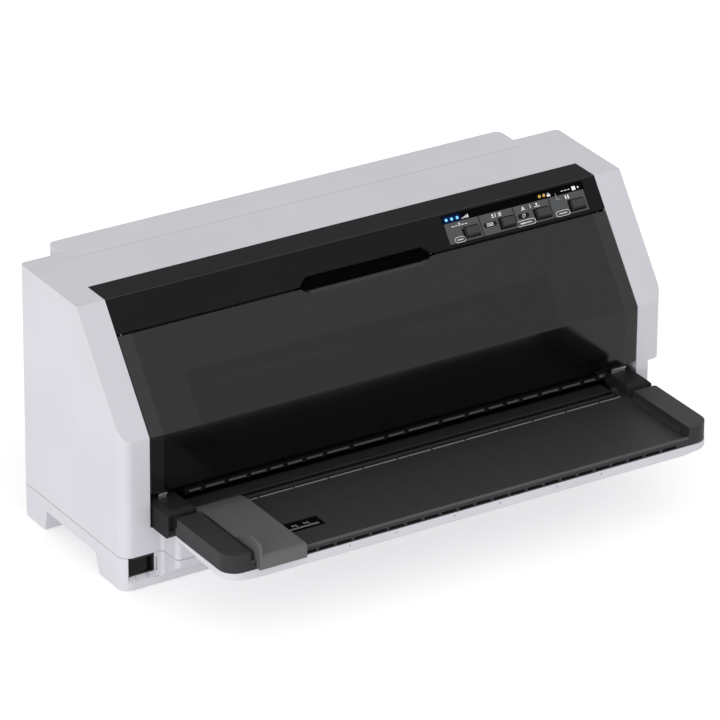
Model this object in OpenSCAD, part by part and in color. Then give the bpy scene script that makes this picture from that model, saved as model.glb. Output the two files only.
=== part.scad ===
/* [Case] */
// Width over the side walls
case_w = 480; // [460:1:520]
// Height of the rear edge of the top
case_h = 210; // [206:1:230]
// Depth from the face of the front pillars to the rear wall
case_d = 150; // [149:1:165]
// Thickness of the moulded case walls
wall = 2.8; // [2.2:0.1:3.4]
// Width of each white pillar beside the front cover
pillar_w = 23.5; // [22:0.5:30]
// Height at which the front face folds back into the slope
kink_z = 123; // [118:1:130]
// Distance of the fold at the top of the slope behind the pillar face
ridge_y = 64; // [58:1:70]
// Height of the joint between the lower and the upper case
split_z = 27.6; // [26:0.2:30]
// Radius of the upright corners at the front
corner_front_r = 9; // [8:1:18]
// Radius of the upright corners at the rear
corner_rear_r = 4; // [3:1:14]
// Depth of the raised block on the rear wall
rear_block_d = 21; // [12:1:28]
// Distance that the chin under the table stands forward of the pillars
chin_d = 20.8; // [15:0.2:26]

/* [Base] */
// Height of the floor's underside above the desk
floor_z = 17.4; // [15:0.2:20]
// Thickness of the rubber foot pads
pad_h = 1.2; // [0.8:0.1:2]
// Depth of the hollow beam that forms the front feet
front_foot_d = 35; // [30:1:45]
// Width of each rear foot
rear_foot_w = 62; // [40:1:80]

/* [Cover and band] */
// Share of the slope that the dark band covers
seam_share = 0.26; // [0.24:0.01:0.3]
// Distance of the band's rear edge behind the pillar face
band_rear_y = 89.5; // [84:0.5:96]
// Thickness of the smoked cover
cover_t = 2.5; // [2:0.1:3]
// Height of the cover's lower edge
cover_low_z = 76.5; // [75:0.5:80]
// Gap round the cover
cover_gap = 0.8; // [0.5:0.1:1.2]
// Width of the finger recess at the seam
finger_w = 120; // [80:1:150]

/* [Table] */
// Height of the paper surface on the table
paper_z = 62.5; // [62:0.1:63]
// Reach of the table in front of the pillars
table_reach = 105.5; // [90:0.5:120]
// Gap between the table's side walls and the pillars
table_gap = 3.5; // [2:0.5:8]
// Width of each side wall of the table
table_wall_w = 20; // [14:1:24]
// Height of the side walls above the paper surface
table_wall_h = 7.5; // [5:0.5:9]
// Width of the edge guide
guide_w = 40; // [30:1:50]
// Height of the edge guide's fence above its top
fence_h = 10.5; // [6:0.5:11]
// Distance that the edge guide stands out in front of the table
guide_lip = 6; // [4:0.5:8]

/* [Print mechanism] */
// Distance between the front and the rear feed rollers
roller_pitch = 62; // [62:0.1:62]
// Radius of the rubber feed rollers
roller_r = 9; // [8:0.5:10]
// Radius of the steel roller shafts
shaft_r = 4; // [3.5:0.1:4.5]
// Radius of the rod that carries the print head
rod_r = 6; // [5:0.5:7]
// Travel of the print head
head_travel = 280; // [240:5:290]
// Width of the print head carriage
carriage_w = 54; // [44:1:60]
// Thickness of the steel side frames
frame_t = 2; // [1.5:0.1:2.5]
// Module of the feed gears
gear_module = 1; // [1:0.1:1]
// Diameter of the paper feed knob
knob_d = 28; // [22:1:30]

/* [Hidden] */
$fn = 48;

// Places that the pieces share; y runs to the rear from the pillar face, z up from the desk
half_w = case_w / 2;
open_half = half_w - pillar_w;
ridge_z = case_h - 1;
seam_groove = 0.5;
cheek_out = open_half + wall;
rear_reach = 258.5;
pillar_face_y = -(table_reach + guide_lip + rear_reach) / 2 + table_reach + guide_lip;
slope_rise = ridge_z - kink_z;
slope_len = sqrt(ridge_y * ridge_y + slope_rise * slope_rise);
slope_tilt = atan2(slope_rise, ridge_y);
seam_y = ridge_y * (1 - seam_share);
seam_z = ridge_z - slope_rise * seam_share;
floor_t = wall;
floor_top = floor_z + floor_t;
pan_z = floor_top + 1.8;
pan_t = 2;
frame_out = open_half - 9.5;
frame_in = frame_out - frame_t;
run = 0.05;
clear = 0.3;
front_axis = [31, paper_z - roller_r];
rear_axis = [front_axis[0] + roller_pitch, front_axis[1]];
plate_y = (front_axis[0] + rear_axis[0]) / 2;
chin_half = open_half - 10.5;
chin_top = 49;
chin_low_front = 21.5;
chin_low_back = 6.7;
block_l = -half_w + 35;
block_r = half_w - 41;
block_low = 150;
recess_in = half_w - 12.6;
recess_top = 74.7;
recess_back = 62;
eps = 0.01;

module place() translate([0, pillar_face_y, 0]) children();

// A flat shape drawn in (y, z), drawn out along x from x0 to x1
module along_x(x0, x1) translate([x0, 0, 0]) rotate([90, 0, 90]) linear_extrude(x1 - x0) children();

// A box given by its lowest and highest corners
module block(a, b) translate(a) cube(b - a);

// A shaft or hole along x
module rod_x(r, x0, x1, at) translate([x0, at[0], at[1]]) rotate([0, 90, 0]) cylinder(r = r, h = x1 - x0);

// A shaft or hole along z
module rod_z(r, z0, z1, at) translate([at[0], at[1], z0]) cylinder(r = r, h = z1 - z0);

// A rectangle whose front corners have one radius and rear corners another
module round_rect(x0, x1, y0, y1, rf, rb) {
    translate([x0, y0 + rf]) square([x1 - x0, y1 - y0 - rf - rb]);
    translate([x0 + rf, y0]) square([x1 - x0 - 2 * rf, rf + eps]);
    translate([x0 + rb, y1 - rb - eps]) square([x1 - x0 - 2 * rb, rb + eps]);
    for (x = [x0 + rf, x1 - rf]) translate([x, y0 + rf]) circle(rf);
    for (x = [x0 + rb, x1 - rb]) translate([x, y1 - rb]) circle(rb);
}

module mirror_pair() { children(); mirror([1, 0, 0]) children(); }

// Case outline seen from above and from the side
module case_plan(inset) round_rect(-half_w + inset, half_w - inset, inset, case_d - inset,
                                   corner_front_r - inset, corner_rear_r - inset);
module case_side() polygon([[0, 0], [0, kink_z], [ridge_y, ridge_z], [band_rear_y, ridge_z + 0.3],
                            [case_d, case_h], [case_d, 0]]);

// Chin below the table, with a rounded foot of its side walls
module chin_plan(inset) {
    round_rect(-chin_half + inset, chin_half - inset, -chin_d + inset, wall + 8, 4 - inset, 1);
    for (s = [-1, 1]) difference() {
        translate([s * (chin_half + 1 - inset), -1 + inset]) square(4, center = true);
        translate([s * (chin_half + 3 - inset), -3 + inset]) circle(3);
    }
}

module case_solid(inset) intersection() {
    along_x(-half_w, half_w) offset(delta = -inset) case_side();
    linear_extrude(case_h + 1) case_plan(inset);
}

// ---------- case ----------

foot_slope = 8;
rear_foot_front = 115;
boss_r = 4;
screw_r = 1.6;
screw_x = half_w - wall - boss_r + 0.4;
screw_spots = [[-screw_x, 56], [screw_x, 78], [-screw_x, 104], [screw_x, 104]];
switch_x = [-half_w + 5, -half_w + 27];
switch_frame_x = [switch_x[0] - 2.4, switch_x[1] + 3.6];
light_slot_w = 1.6;
switch_z = [12.3, 26.6];
ledge_low = 7.3;
ledge_depth = 3.4;

module feet_side(inset) {
    polygon([[inset, pad_h + inset], [front_foot_d - inset, pad_h + inset],
             [front_foot_d + foot_slope - inset, floor_z + floor_t], [inset, floor_z + floor_t]]);
}

module rear_foot_side(inset) {
    polygon([[rear_foot_front + 3 + inset, pad_h + inset], [case_d - 4 - inset, pad_h + inset],
             [case_d - inset, floor_z + floor_t], [rear_foot_front + inset, floor_z + floor_t]]);
}

module chin_side(inset) polygon([[wall + 6, chin_low_back + inset],
    [inset / 2, chin_low_back + inset * 1.2],
    [-chin_d + inset, chin_low_front + inset * 1.2], [-chin_d + inset, chin_top - inset],
    [wall + 6, chin_top - inset]]);

module lower_case() place() color("#d8d7dc") difference() {
    union() {
        difference() {
            union() {
                translate([0, 0, floor_z]) linear_extrude(split_z - floor_z) case_plan(0);
                intersection() {
                    translate([0, 0, pad_h]) linear_extrude(floor_z) case_plan(0);
                    union() {
                        along_x(-half_w, half_w) feet_side(0);
                        mirror_pair() along_x(half_w - rear_foot_w, half_w) rear_foot_side(0);
                    }
                }
                intersection() {
                    linear_extrude(split_z) chin_plan(0);
                    along_x(-half_w, half_w) chin_side(0);
                }
            }
            translate([0, 0, floor_top]) linear_extrude(split_z) case_plan(wall);
            intersection() {
                linear_extrude(split_z + 1) case_plan(wall);
                union() {
                    along_x(switch_x[1] + wall, half_w) feet_side(wall);
                    mirror_pair() along_x(half_w - rear_foot_w + wall, half_w) rear_foot_side(wall);
                }
            }
            intersection() {
                linear_extrude(split_z + 1) chin_plan(wall);
                along_x(-half_w, half_w) chin_side(wall);
            }
        }
        for (p = screw_spots) rod_z(boss_r, floor_z, split_z - 0.2, p);
        for (x = [-180 : 60 : 180]) block([x - 1, 48, floor_z + 1], [x + 1, 108, pan_z]);
    }
    for (p = screw_spots) rod_z(screw_r + 0.2, -1, split_z + 1, p);
    for (p = screw_spots) rod_z(screw_r + 1.6, -1, floor_z - 0.6, p);
    block([switch_x[0], -1, switch_z[0]], [switch_x[1], 14, split_z + 1]);
    along_x(switch_x[0], switch_x[1] + 1) polygon([[-1, ledge_low], [0, ledge_low],
        [ledge_depth, switch_z[0] + eps], [-1, switch_z[0] + eps]]);
    translate([0, 0, ledge_low]) linear_extrude(split_z) polygon([[switch_frame_x[0], -1],
        [switch_frame_x[0], 0],
        [switch_x[0] + 0.2, 1.2], [switch_x[0] + 0.2, -1]]);
    block([switch_x[1] + 1, -1, switch_z[0]], [switch_x[1] + 1 + light_slot_w, wall - 0.8,
        switch_z[1] - 3]);
    block([switch_x[1] - 0.2, -1, ledge_low], [switch_frame_x[1], 0.6, split_z + 1]);
    for (x = [-150 : 12 : 150]) block([x - 2, 56, floor_z - 1], [x + 2, 100, floor_z + floor_t + 1]);
}

module foot_pads() place() color("#2a2a2c") {
    mirror_pair() {
        rod_z(7, 0, pad_h, [half_w - 26, 20]);
        rod_z(7, 0, pad_h, [half_w - 26, 131]);
    }
}

module knob_recess(grow) block([recess_in - grow, -5, split_z + wall - grow],
                               [half_w + 5, recess_back + grow, recess_top + grow]);

module upper_case() place() color("#dddce2") difference() {
    union() {
        difference() {
            union() {
                intersection() {
                    case_solid(0);
                    translate([0, 0, split_z]) linear_extrude(case_h) case_plan(0);
                }
                intersection() {
                    translate([0, 0, split_z]) linear_extrude(chin_top - split_z) chin_plan(0);
                    along_x(-half_w, half_w) chin_side(0);
                }
                rear_block_solid(0);
            }
            intersection() {
                case_solid(wall);
                translate([0, 0, split_z - 1]) linear_extrude(case_h) case_plan(wall);
            }
            intersection() {
                translate([0, 0, split_z - 1]) linear_extrude(chin_top) chin_plan(wall);
                along_x(-half_w, half_w) chin_side(wall);
            }
            rear_block_solid(wall);
            translate([0, 0, split_z - 1]) linear_extrude(1 + seam_groove) difference() {
                offset(1) union() { case_plan(0); chin_plan(0); }
                union() { case_plan(seam_groove); chin_plan(seam_groove); }
            }
        }
        intersection() {
            case_solid(0);
            union() {
                mirror_pair() block([open_half, 0.5, split_z], [cheek_out, band_rear_y + wall, case_h]);
                knob_recess(wall);
                block([-open_half, band_rear_y - 6, ledge_z - 3],
                    [open_half, band_rear_y + wall, ridge_z - wall + 1]);
            }
        }
        for (p = screw_spots) rod_z(boss_r, split_z, split_z + 16, p);
        mirror_pair() along_x(rear_mouth_half, rear_mouth_half + 6) {
            translate(guide_axis) circle(8);
            translate([case_d - wall, guide_axis[1] - 8]) square([guide_axis[0] - case_d + wall, 16]);
        }
        rib_x = [-140, -70, 0, 70, 140];
        for (x = rib_x) intersection() {
            case_solid(0.5);
            block([x - 1, band_rear_y + wall - 0.5, case_h - 16], [x + 1, case_d, case_h]);
        }
    }
    // mouth of the front cover and the band
    block([-open_half, -5, chin_top], [open_half, 8, case_h]);
    difference() {
        block([-open_half, -5, chin_top], [open_half, band_rear_y, case_h + 5]);
        block([-open_half - 1, band_rear_y - 6, ledge_z - 3], [open_half + 1, band_rear_y + 1, ledge_z]);
    }
    knob_recess(0);
    // rear mouth for the tractors
    block([-rear_mouth_half, case_d - 8, rear_mouth_low], [rear_mouth_half, case_d + rear_block_d + 5,
        block_low + 0.01]);
    // way through the rear wall for the gear train and the sockets
    block([-frame_out - 8.6, case_d - wall - 1, front_axis[1] - 23],
        [-frame_out - 0.6, case_d + 1, front_axis[1] + 23]);
    block([power_x - 14.3, case_d - wall - 1, power_z - 10.3], [power_x + 14.3, case_d + 1,
        power_z + 10.3]);
    block([port_x0 - 0.3, case_d - wall - 1, port_z0 - 0.3], [port_x0 + 66.3, case_d + 1, port_z0 + 13.3]);
    block([usb_x0 - 0.3, case_d - wall - 1, port_z0 - 0.3], [usb_x0 + 12.3, case_d + 1, port_z0 + 11.3]);
    // pivots, shafts and screws
    mirror_pair() rod_x(guide_pin_r + run, rear_mouth_half - 1, rear_mouth_half + 5, guide_axis);
    mirror_pair() rod_x(cover_pin_r + run, open_half - 1, cheek_out + 1, cover_axis);
    rod_x(shaft_r + 0.4, open_half - 1, half_w, front_axis);
    for (p = screw_spots) rod_z(screw_r, split_z - 1, split_z + 13, p);
}

band_t = 3.2;
rear_mouth_half = open_half - 34.5;
guide_axis = [case_d + rear_block_d - 4, 108];
guide_pin_r = 3;
power_x = half_w - 34;
power_z = 44;
port_x0 = 70;
usb_x0 = 46;
port_z0 = split_z + 1.2;
rear_mouth_low = 44;
ledge_z = ridge_z - band_t - 0.2;

module rear_block_solid(inset) {
    intersection() {
        along_x(block_l + inset, block_r - inset) polygon([[case_d - 12, block_low + inset],
            [case_d + rear_block_d - 8, block_low + inset], [case_d + rear_block_d - inset, block_low + 8],
            [case_d + rear_block_d - inset, case_h - inset], [case_d - 12, case_h - inset]]);
        translate([0, 0, block_low]) linear_extrude(case_h)
            round_rect(block_l + inset, block_r - inset, case_d - 20, case_d + rear_block_d - inset, 1,
                6 - inset);
    }
}

// ---------- band, panel and buttons ----------

module band_side(t0, t1) polygon([
    [band_rear_y - 0.3, ridge_z + 0.3 - t0], [ridge_y, ridge_z - t0],
    [seam_y + 0.4 + t0, seam_z + 0.5 - t0 * 0.4],
    [seam_y + 0.4 + t1, seam_z + 0.5 - t1 * 0.4], [ridge_y + 0.3, ridge_z - t1],
    [band_rear_y - 0.3, ridge_z + 0.3 - t1]]);

// Moves its children on to the slope: x across, y up the slope from the fold, z outwards
module on_slope() translate([0, ridge_y, ridge_z]) rotate([slope_tilt, 0, 0]) children();

panel_x1 = open_half - 12.2;
panel_w = 129.3;
panel_x0 = panel_x1 - panel_w;
panel_top = 1.8;
flange_w = open_half - finger_w / 2 - 8.5;
finger_chamfer = 8.5;
finger_rise = 7.4;
panel_bottom = 25.4;
button_x = [for (d = [22.4, 55.3, 87.1, 118.9]) panel_x0 + d];
button_s = 18.5;
button_size = [13, 7.6];
lamp_x = [for (d = [4.2, 9.1, 14.1, 88.9, 92.9]) panel_x0 + d];
lamp_s = 5.6;
lamp_r = 1.1;

module top_band() place() color("#29292b") difference() {
    union() {
        along_x(-open_half + 0.3, open_half - 0.3) band_side(0, band_t);
        for (x = [-0.92, -0.6, -0.3, 0.3, 0.96] * open_half) along_x(x - 1, x + 1)
            polygon([[seam_y + 6, seam_z + 2], [ridge_y, ridge_z - 2], [band_rear_y - 8, ridge_z - 2],
                     [band_rear_y - 8, ridge_z - 8], [ridge_y + 4, ridge_z - 14],
                     [seam_y + 12, seam_z - 4]]);
        // flange under the cover's upper edge
        mirror_pair() on_slope() {
            translate([finger_w / 2 + 2, -seam_s - 5, -band_t - 1.5]) cube([flange_w, 8, 1.6]);
            translate([finger_w / 2 + 2, -seam_s + 0.6, -band_t - 1.5]) cube([flange_w, 2.4, 2.2]);
        }
    }
    on_slope() {
        linear_extrude(12, center = true) polygon([[-finger_w / 2, -seam_s - 3], [-finger_w / 2, -seam_s],
            [-finger_w / 2 + finger_chamfer, -seam_s + finger_rise],
            [finger_w / 2 - finger_chamfer, -seam_s + finger_rise],
            [finger_w / 2, -seam_s], [finger_w / 2, -seam_s - 3]]);
        translate([panel_x0, -panel_bottom, -1]) cube([panel_x1 - panel_x0, panel_bottom - panel_top, 3]);
        for (x = button_x) translate([x, -button_s, 0])
            cube([button_size[0] + 1, button_size[1] + 1, 12], center = true);
        for (x = lamp_x) translate([x, -lamp_s, -6]) cylinder(r = lamp_r + 0.1, h = 12);
    }
}

module panel_plate() place() color("#5a5c5e") on_slope() difference() {
    translate([panel_x0 + 0.15, -panel_bottom + 0.15, -1])
        cube([panel_x1 - panel_x0 - 0.3, panel_bottom - panel_top - 0.3, 0.8]);
    for (x = button_x) translate([x, -button_s, 0])
        cube([button_size[0] + 0.8, button_size[1] + 0.8, 5], center = true);
    for (x = lamp_x) translate([x, -lamp_s, -3]) cylinder(r = lamp_r + 0.1, h = 6);
}

module status_lamps() place() color("#3a78d8") on_slope()
    for (x = lamp_x) translate([x, -lamp_s, -4]) cylinder(r = lamp_r, h = 4);

module button(i) place() color("#4c4e50") on_slope() translate([button_x[i], -button_s, 0]) {
    translate([0, 0, -1]) cube([button_size[0], button_size[1], 4], center = true);
    translate([0, 0, -5.4]) cube([5, 4, 5], center = true);
}
module button_1() button(0);
module button_2() button(1);
module button_3() button(2);
module button_4() button(3);

// ---------- front cover ----------

cover_axis = [7, cover_low_z + 7.5];
cover_pin_r = 2.5;
seam_s = slope_len * seam_share;
lip_depth = 6.5;
lip_half = finger_w / 2 - 10;
bevel_w = 6.4;
cover_half = open_half - cover_gap;

// Notch in the cover's upper edge, drop wide below the seam and drawn in by inset at its ends
module notch(inset, drop) polygon([[-finger_w / 2 + 1 + inset, -seam_s + 2],
    [-finger_w / 2 + 1 + inset, -seam_s],
    [-finger_w / 2 + 3 + inset, -seam_s - drop / 2], [-finger_w / 2 + 10 + inset / 2, -seam_s - drop],
    [finger_w / 2 - 10 - inset / 2, -seam_s - drop], [finger_w / 2 - 3 - inset, -seam_s - drop / 2],
    [finger_w / 2 - 1 - inset, -seam_s], [finger_w / 2 - 1 - inset, -seam_s + 2]]);

// Two stretches of a bent sheet, its outer face t0 and inner face t1 below the case outline
module cover_side(t0, t1, lift) polygon([
    [t0, cover_low_z + lift], [t0, kink_z - t0 * 0.45], [seam_y + t0 * 0.8 - 0.6, seam_z - 0.9 - t0 * 0.6],
    [seam_y + t1 * 0.8 - 0.6, seam_z - 0.9 - t1 * 0.6], [t1, kink_z - t1 * 0.45],
    [t1, cover_low_z + lift]]);

module front_cover() place() color("#3a3a3c") {
    difference() {
        union() {
            along_x(-cover_half, cover_half) cover_side(0, cover_t, 0);
            mirror_pair() along_x(cover_half - cover_t, cover_half) cover_side(0.5, 9, 0.2);
            // lip that a finger reaches under, in the recess of the band
            on_slope() {
                translate([-lip_half, -seam_s - 4, -lip_depth - 2]) cube([2 * lip_half, 11, 2]);
                translate([-lip_half, -seam_s - 4.8, -lip_depth - 2]) cube([2 * lip_half, 2.4,
                    lip_depth + 1]);
            }
        }
        // bevelled notch above the lip
        on_slope() hull() {
            translate([0, 0, 0.1]) linear_extrude(0.1) notch(0, bevel_w);
            translate([0, 0, -cover_t - 0.4]) linear_extrude(0.1) notch(3, 2.2);
        }
    }
    mirror_pair() {
        difference() {
            rod_x(5, cover_half - 3.6, cover_half, cover_axis);
            rod_x(cover_pin_r - 1, cover_half - 4, cover_half + 1, cover_axis);
        }
        rod_x(cover_pin_r, cover_half - 3.6, cheek_out + 1, cover_axis);
    }
}

// ---------- table ----------

table_half = open_half - table_gap;
table_in = table_half - table_wall_w;
table_axis = [-9, paper_z - 1];
table_pin_r = 2;
table_floor_rear = -21.5;
table_wall_rear = -31;
table_low = 55.5;
tray_low = 48.2;
tray_back = 53.6;
tray_side = 51;
tray_chamfer = 26;
tray_rim = 2.6;
hinge_in = table_half - 20;
hinge_out = open_half - 1.5;
hinge_front = -23.2;
hinge_top = 70.9;
hinge_back = 8;
ear_w = 5;
guide_x0 = -table_in + 3.5;
guide_top = 68;
fence_w = 2.2;
rib_pitch = 30.4;
slot_pitch = rib_pitch / 2;

module hinge_blocks() place() color("#2b2b2d") mirror_pair() difference() {
    union() {
        along_x(hinge_in, hinge_out) {
            translate([hinge_front + 5, hinge_top - 5]) circle(5);
            polygon([[hinge_front, hinge_top - 5], [hinge_front + 5, hinge_top], [hinge_back, hinge_top],
                     [hinge_back, chin_top], [hinge_front + 2.6, chin_top], [hinge_front, chin_top + 3]]);
        }
        block([frame_in - 4, hinge_back - 1, chin_top], [frame_out + 0.7, frame_front - clear,
            hinge_top - 8]);
    }
    rod_x(table_pin_r + run, hinge_in - 1, hinge_in + 9, table_axis);
    // sunk field in the front and a chamfer along the outer edge of the top
    block([hinge_out - 6, hinge_front - 1, chin_top + 6.6], [hinge_out - 1.4, hinge_front + 2,
        hinge_top - 4]);
    translate([hinge_out, hinge_front - 1, hinge_top]) rotate([0, 45, 0]) translate([-2.4, 0, -2.4])
        cube([4.8, hinge_back - hinge_front + 2, 4.8]);
}

module table_plan(x_half, y0, y1, r) round_rect(-x_half, x_half, y0, y1, r, 2.5);

module paper_table() place() color("#2c2c2e") difference() {
    union() {
        translate([0, 0, table_low]) linear_extrude(paper_z - table_low) difference() {
            table_plan(table_half, -table_reach, table_floor_rear, 13);
            mirror_pair() translate([hinge_in - clear, table_wall_rear]) square([table_wall_w + 25, 20]);
        }
        mirror_pair() translate([0, 0,
            table_low]) linear_extrude(paper_z + table_wall_h - table_low) intersection() {
            table_plan(table_half, -table_reach, table_wall_rear, 13);
            translate([table_in, -table_reach - 1]) square([table_wall_w + 5, table_reach]);
        }
        // ramp at the foot of each side wall
        mirror_pair() translate([0, table_wall_rear, 0]) rotate([90, 0, 0])
            linear_extrude(table_reach + table_wall_rear - 12) polygon([[table_in - 1.7, paper_z - eps],
                [table_in - 0.7, paper_z + 1.1], [table_in + eps, paper_z + 3.4],
                [table_in + eps, paper_z - eps]]);
        mirror_pair() {
            block([hinge_in - clear - ear_w, table_floor_rear - 4, table_axis[1] - 3],
                  [hinge_in - clear, table_axis[0], paper_z]);
            rod_x(3, hinge_in - clear - ear_w, hinge_in - clear, table_axis);
            rod_x(table_pin_r, hinge_in - clear - ear_w, hinge_in + 8, table_axis);
        }
        // thin rim along the rear edge, broken at each fold line
        for (i = [-6 : 5]) block([i * rib_pitch + 0.8 + slot_pitch, table_floor_rear - 0.9, paper_z - 1],
            [min((i + 1) * rib_pitch - 0.8 + slot_pitch, hinge_in - 6), table_floor_rear, paper_z + 0.5]);
    }
    // hollow underside between ribs
    mirror_pair() block([table_in + wall, -table_reach + 12, table_low - 1],
                        [table_half - wall, table_wall_rear - wall, paper_z + table_wall_h - wall]);
    for (i = [-7 : 6]) block([i * 27 + 1.2, -table_reach + 16, table_low - 1],
                             [(i + 1) * 27 - 1.2, table_floor_rear - 12, paper_z - wall]);
    // slots along the front face, rounding of the front edge and window with the scale
    for (i = [-12 : 11]) block([i * slot_pitch + 1.1, -table_reach - 1, table_low + 0.8],
                               [(i + 1) * slot_pitch - 1.1, -table_reach + 8, table_low + 2.9]);
    translate([-table_in, -table_reach, paper_z]) rotate([45, 0, 0])
        translate([0, -0.9, -0.9]) cube([2 * table_in, 1.8, 1.8]);
    block([-146, -82.5, paper_z - 0.8], [-115, -67, paper_z + 1]);
    for (i = [-5 : 5]) block([i * rib_pitch - slot_pitch - 0.25, -table_reach + 8, paper_z - 0.15],
                             [i * rib_pitch - slot_pitch + 0.25, table_floor_rear - 3, paper_z + 1]);
}

// Underside of the tray: lowest at the middle of the front, rising to the sides and to the rear
module tray_solid(inset) intersection() {
    translate([0, 0, tray_low]) linear_extrude(table_low - tray_low - 0.1)
        table_plan(table_half + 0.4 - inset, -table_reach - 0.4 + inset, table_wall_rear - inset,
            13.4 - inset);
    along_x(-table_half - 1, table_half + 1) polygon([[-table_reach - 1, tray_low + inset],
        [table_wall_rear + 1, tray_back + inset],
                                                      [table_wall_rear + 1, table_low + 1],
                                                      [-table_reach - 1, table_low + 1]]);
    rotate([90, 0, 0]) linear_extrude(table_reach + 1) polygon([
        [-table_half - 1, tray_side + inset], [-table_half + tray_chamfer, tray_low + inset],
        [table_half - tray_chamfer, tray_low + inset],
        [table_half + 1, tray_side + inset], [table_half + 1, table_low + 1],
        [-table_half - 1, table_low + 1]]);
}

module table_tray() place() color("#e6e5ea") difference() {
    tray_solid(0);
    translate([0, 0, 1]) tray_solid(tray_rim);
    translate([0, 0, 3]) tray_solid(tray_rim);
    for (x = [-109, -69, -18, 22, 73, 113]) translate([x, -table_reach - 3,
        table_low - 2.6]) rotate([-90, 0, 0])
        cylinder(r = 0.6, h = 6);
}

module edge_guide() place() color("#565658") {
    guide_front = -table_reach - guide_lip;
    guide_rear = table_axis[0] - 4;
    fence_top = guide_top + fence_h;
    under = paper_z + clear;
    along_x(guide_x0, guide_x0 + guide_w) polygon([
        [guide_rear, under], [guide_rear, under + 1.2], [guide_rear - 6, guide_top - 1.4],
        [guide_rear - 16, guide_top],
        [guide_front + 2.2, guide_top], [guide_front + 0.6, guide_top - 0.7],
        [guide_front, guide_top - 2.2],
        [guide_front, table_low + 1.4], [-table_reach - 0.7, table_low + 1.4],
        [-table_reach - 0.7, guide_top - 3],
        [guide_rear - 18, guide_top - 3], [guide_rear - 5, under]]);
    // rim and fence along the left edge
    along_x(guide_x0 - eps, guide_x0 + 1.2) polygon([[guide_rear, under + 0.6], [guide_rear, under + 2],
        [guide_rear - 6, guide_top - 0.8],
        [guide_rear - 16, guide_top + 0.7], [-80, guide_top + 0.7], [-80, under + 0.6]]);
    along_x(guide_x0 - eps, guide_x0 + fence_w) polygon([
        [-76, under], [-76, guide_top + 0.5], [-80, guide_top + 1.6], [-84, guide_top + 5],
        [-88, fence_top - 2.6],
        [-93, fence_top - 0.5], [-98, fence_top], [guide_front + 6, fence_top - 0.6],
        [guide_front + 2.2, fence_top - 2.2],
        [guide_front + 0.4, fence_top - 5], [guide_front - eps, fence_top - 8],
        [guide_front - eps, table_low + 1.4],
        [-table_reach - 1, table_low + 1.4], [-table_reach - 1, under]]);
    for (x = [guide_x0 + 4, guide_x0 + guide_w - 6])
        block([x, -table_reach - 1.5, under], [x + 2, guide_rear - 18, guide_top - 2]);
}

// ---------- frame and paper path ----------

frame_back = 145;
frame_front = 15;
frame_low = pan_z + pan_t;
rod_at = [86, 92];
rail_y = 38;
rail_z = 96;
line_y = plate_y;
bed_half = frame_in - 27;
roller_half = bed_half - 4;
pinch_r = 6;
pinch_z = paper_z + clear + pinch_r;
idler2_y = rear_axis[0] + 40 * gear_module;
tractor_axis = [idler2_y + 35 * gear_module, front_axis[1]];

module base_pan() place() color("#b9bcc0") difference() {
    union() {
        block([-frame_out, 13, pan_z], [frame_out, frame_back, pan_z + pan_t]);
        block([-frame_out + 2.2, 13, pan_z], [frame_out - 2.2, 15, pan_z + 10]);
        block([-frame_out + 2.2, frame_back - 2, pan_z], [frame_out - 2.2, frame_back, pan_z + 5]);
    }
    for (x = [-160, -90, 90, 160]) rod_z(6, pan_z - 1, pan_z + pan_t + 1, [x, 30]);
    for (x = [-190, 190]) for (y = [24, 124]) rod_z(2.2, pan_z - 1, pan_z + pan_t + 1, [x, y]);
}

module frame_side() polygon([[frame_front, frame_low], [frame_front, 88], [26, 108], [128, 108],
    [frame_back, 92], [frame_back, frame_low]]);

module side_frame() difference() {
    along_x(0, frame_t) difference() {
        frame_side();
        translate([112, 34]) square([22, 12]);
        translate([44, 30]) square([30, 8]);
    }
    for (a = [front_axis, rear_axis]) rod_x(shaft_r + run, -1, frame_t + 1, a);
    rod_x(rod_r + run, -1, frame_t + 1, rod_at);
}

module side_frame_left() place() color("#b9bcc0") {
    difference() {
        translate([-frame_out, 0, 0]) side_frame();
        rod_x(feed_boss_r + run, -frame_out - 1, -frame_in + 1, pinion_axis);
    }
    for (y = [plate_y, idler2_y]) rod_x(stud_r, gear_x0 - 0.8, -frame_in, [y, front_axis[1]]);
}

module side_frame_right() place() color("#b9bcc0") difference() {
    translate([frame_in, 0, 0]) side_frame();
    block([frame_in - 1, case_d - 21, power_z - 12], [frame_out + 1, frame_back + 1, power_z + 12]);
}

entry_half = hinge_in - 2 * clear - ear_w - 0.6;
entry_top = paper_z - 0.3;
entry_step = entry_top - 1.8;
// Places across the mouth where a post parts two guide rollers
roller_posts = [0, 9, 39.8, 63.2, 81.1, 97.9, 112.6, 129.7, 149, 169, 183];
post_w = 3.6;
guide_roller = [5.4, 68.2];
guide_roller_r = 1.9;

module entry_guide() place() color("#262628") difference() {
    along_x(-entry_half, entry_half) polygon([[-15.6, chin_top], [-15.6, entry_top - 1.2],
        [-15.1, entry_top - 0.3],
        [-14.2, entry_top], [-13.1, entry_top - 0.3], [-12.7, entry_top - 1.4],
        [-9.2, entry_top - 1.4], [-8.7, entry_top],
        [4.6, entry_top], [5.2, entry_step], [20, entry_step], [20, paper_z - 4],
        [frame_front + 2.3, chin_top + 3],
        [frame_front + 2.3, frame_low], [frame_front + 0.3, frame_low],
        [frame_front + 0.3, chin_top + 1], [10, chin_top]]);
    for (i = [-8 : 7]) block([i * 22 + 4, frame_front + 2.8, chin_top - 5],
        [(i + 1) * 22 - 4, 21, paper_z + 1]);
}

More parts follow.
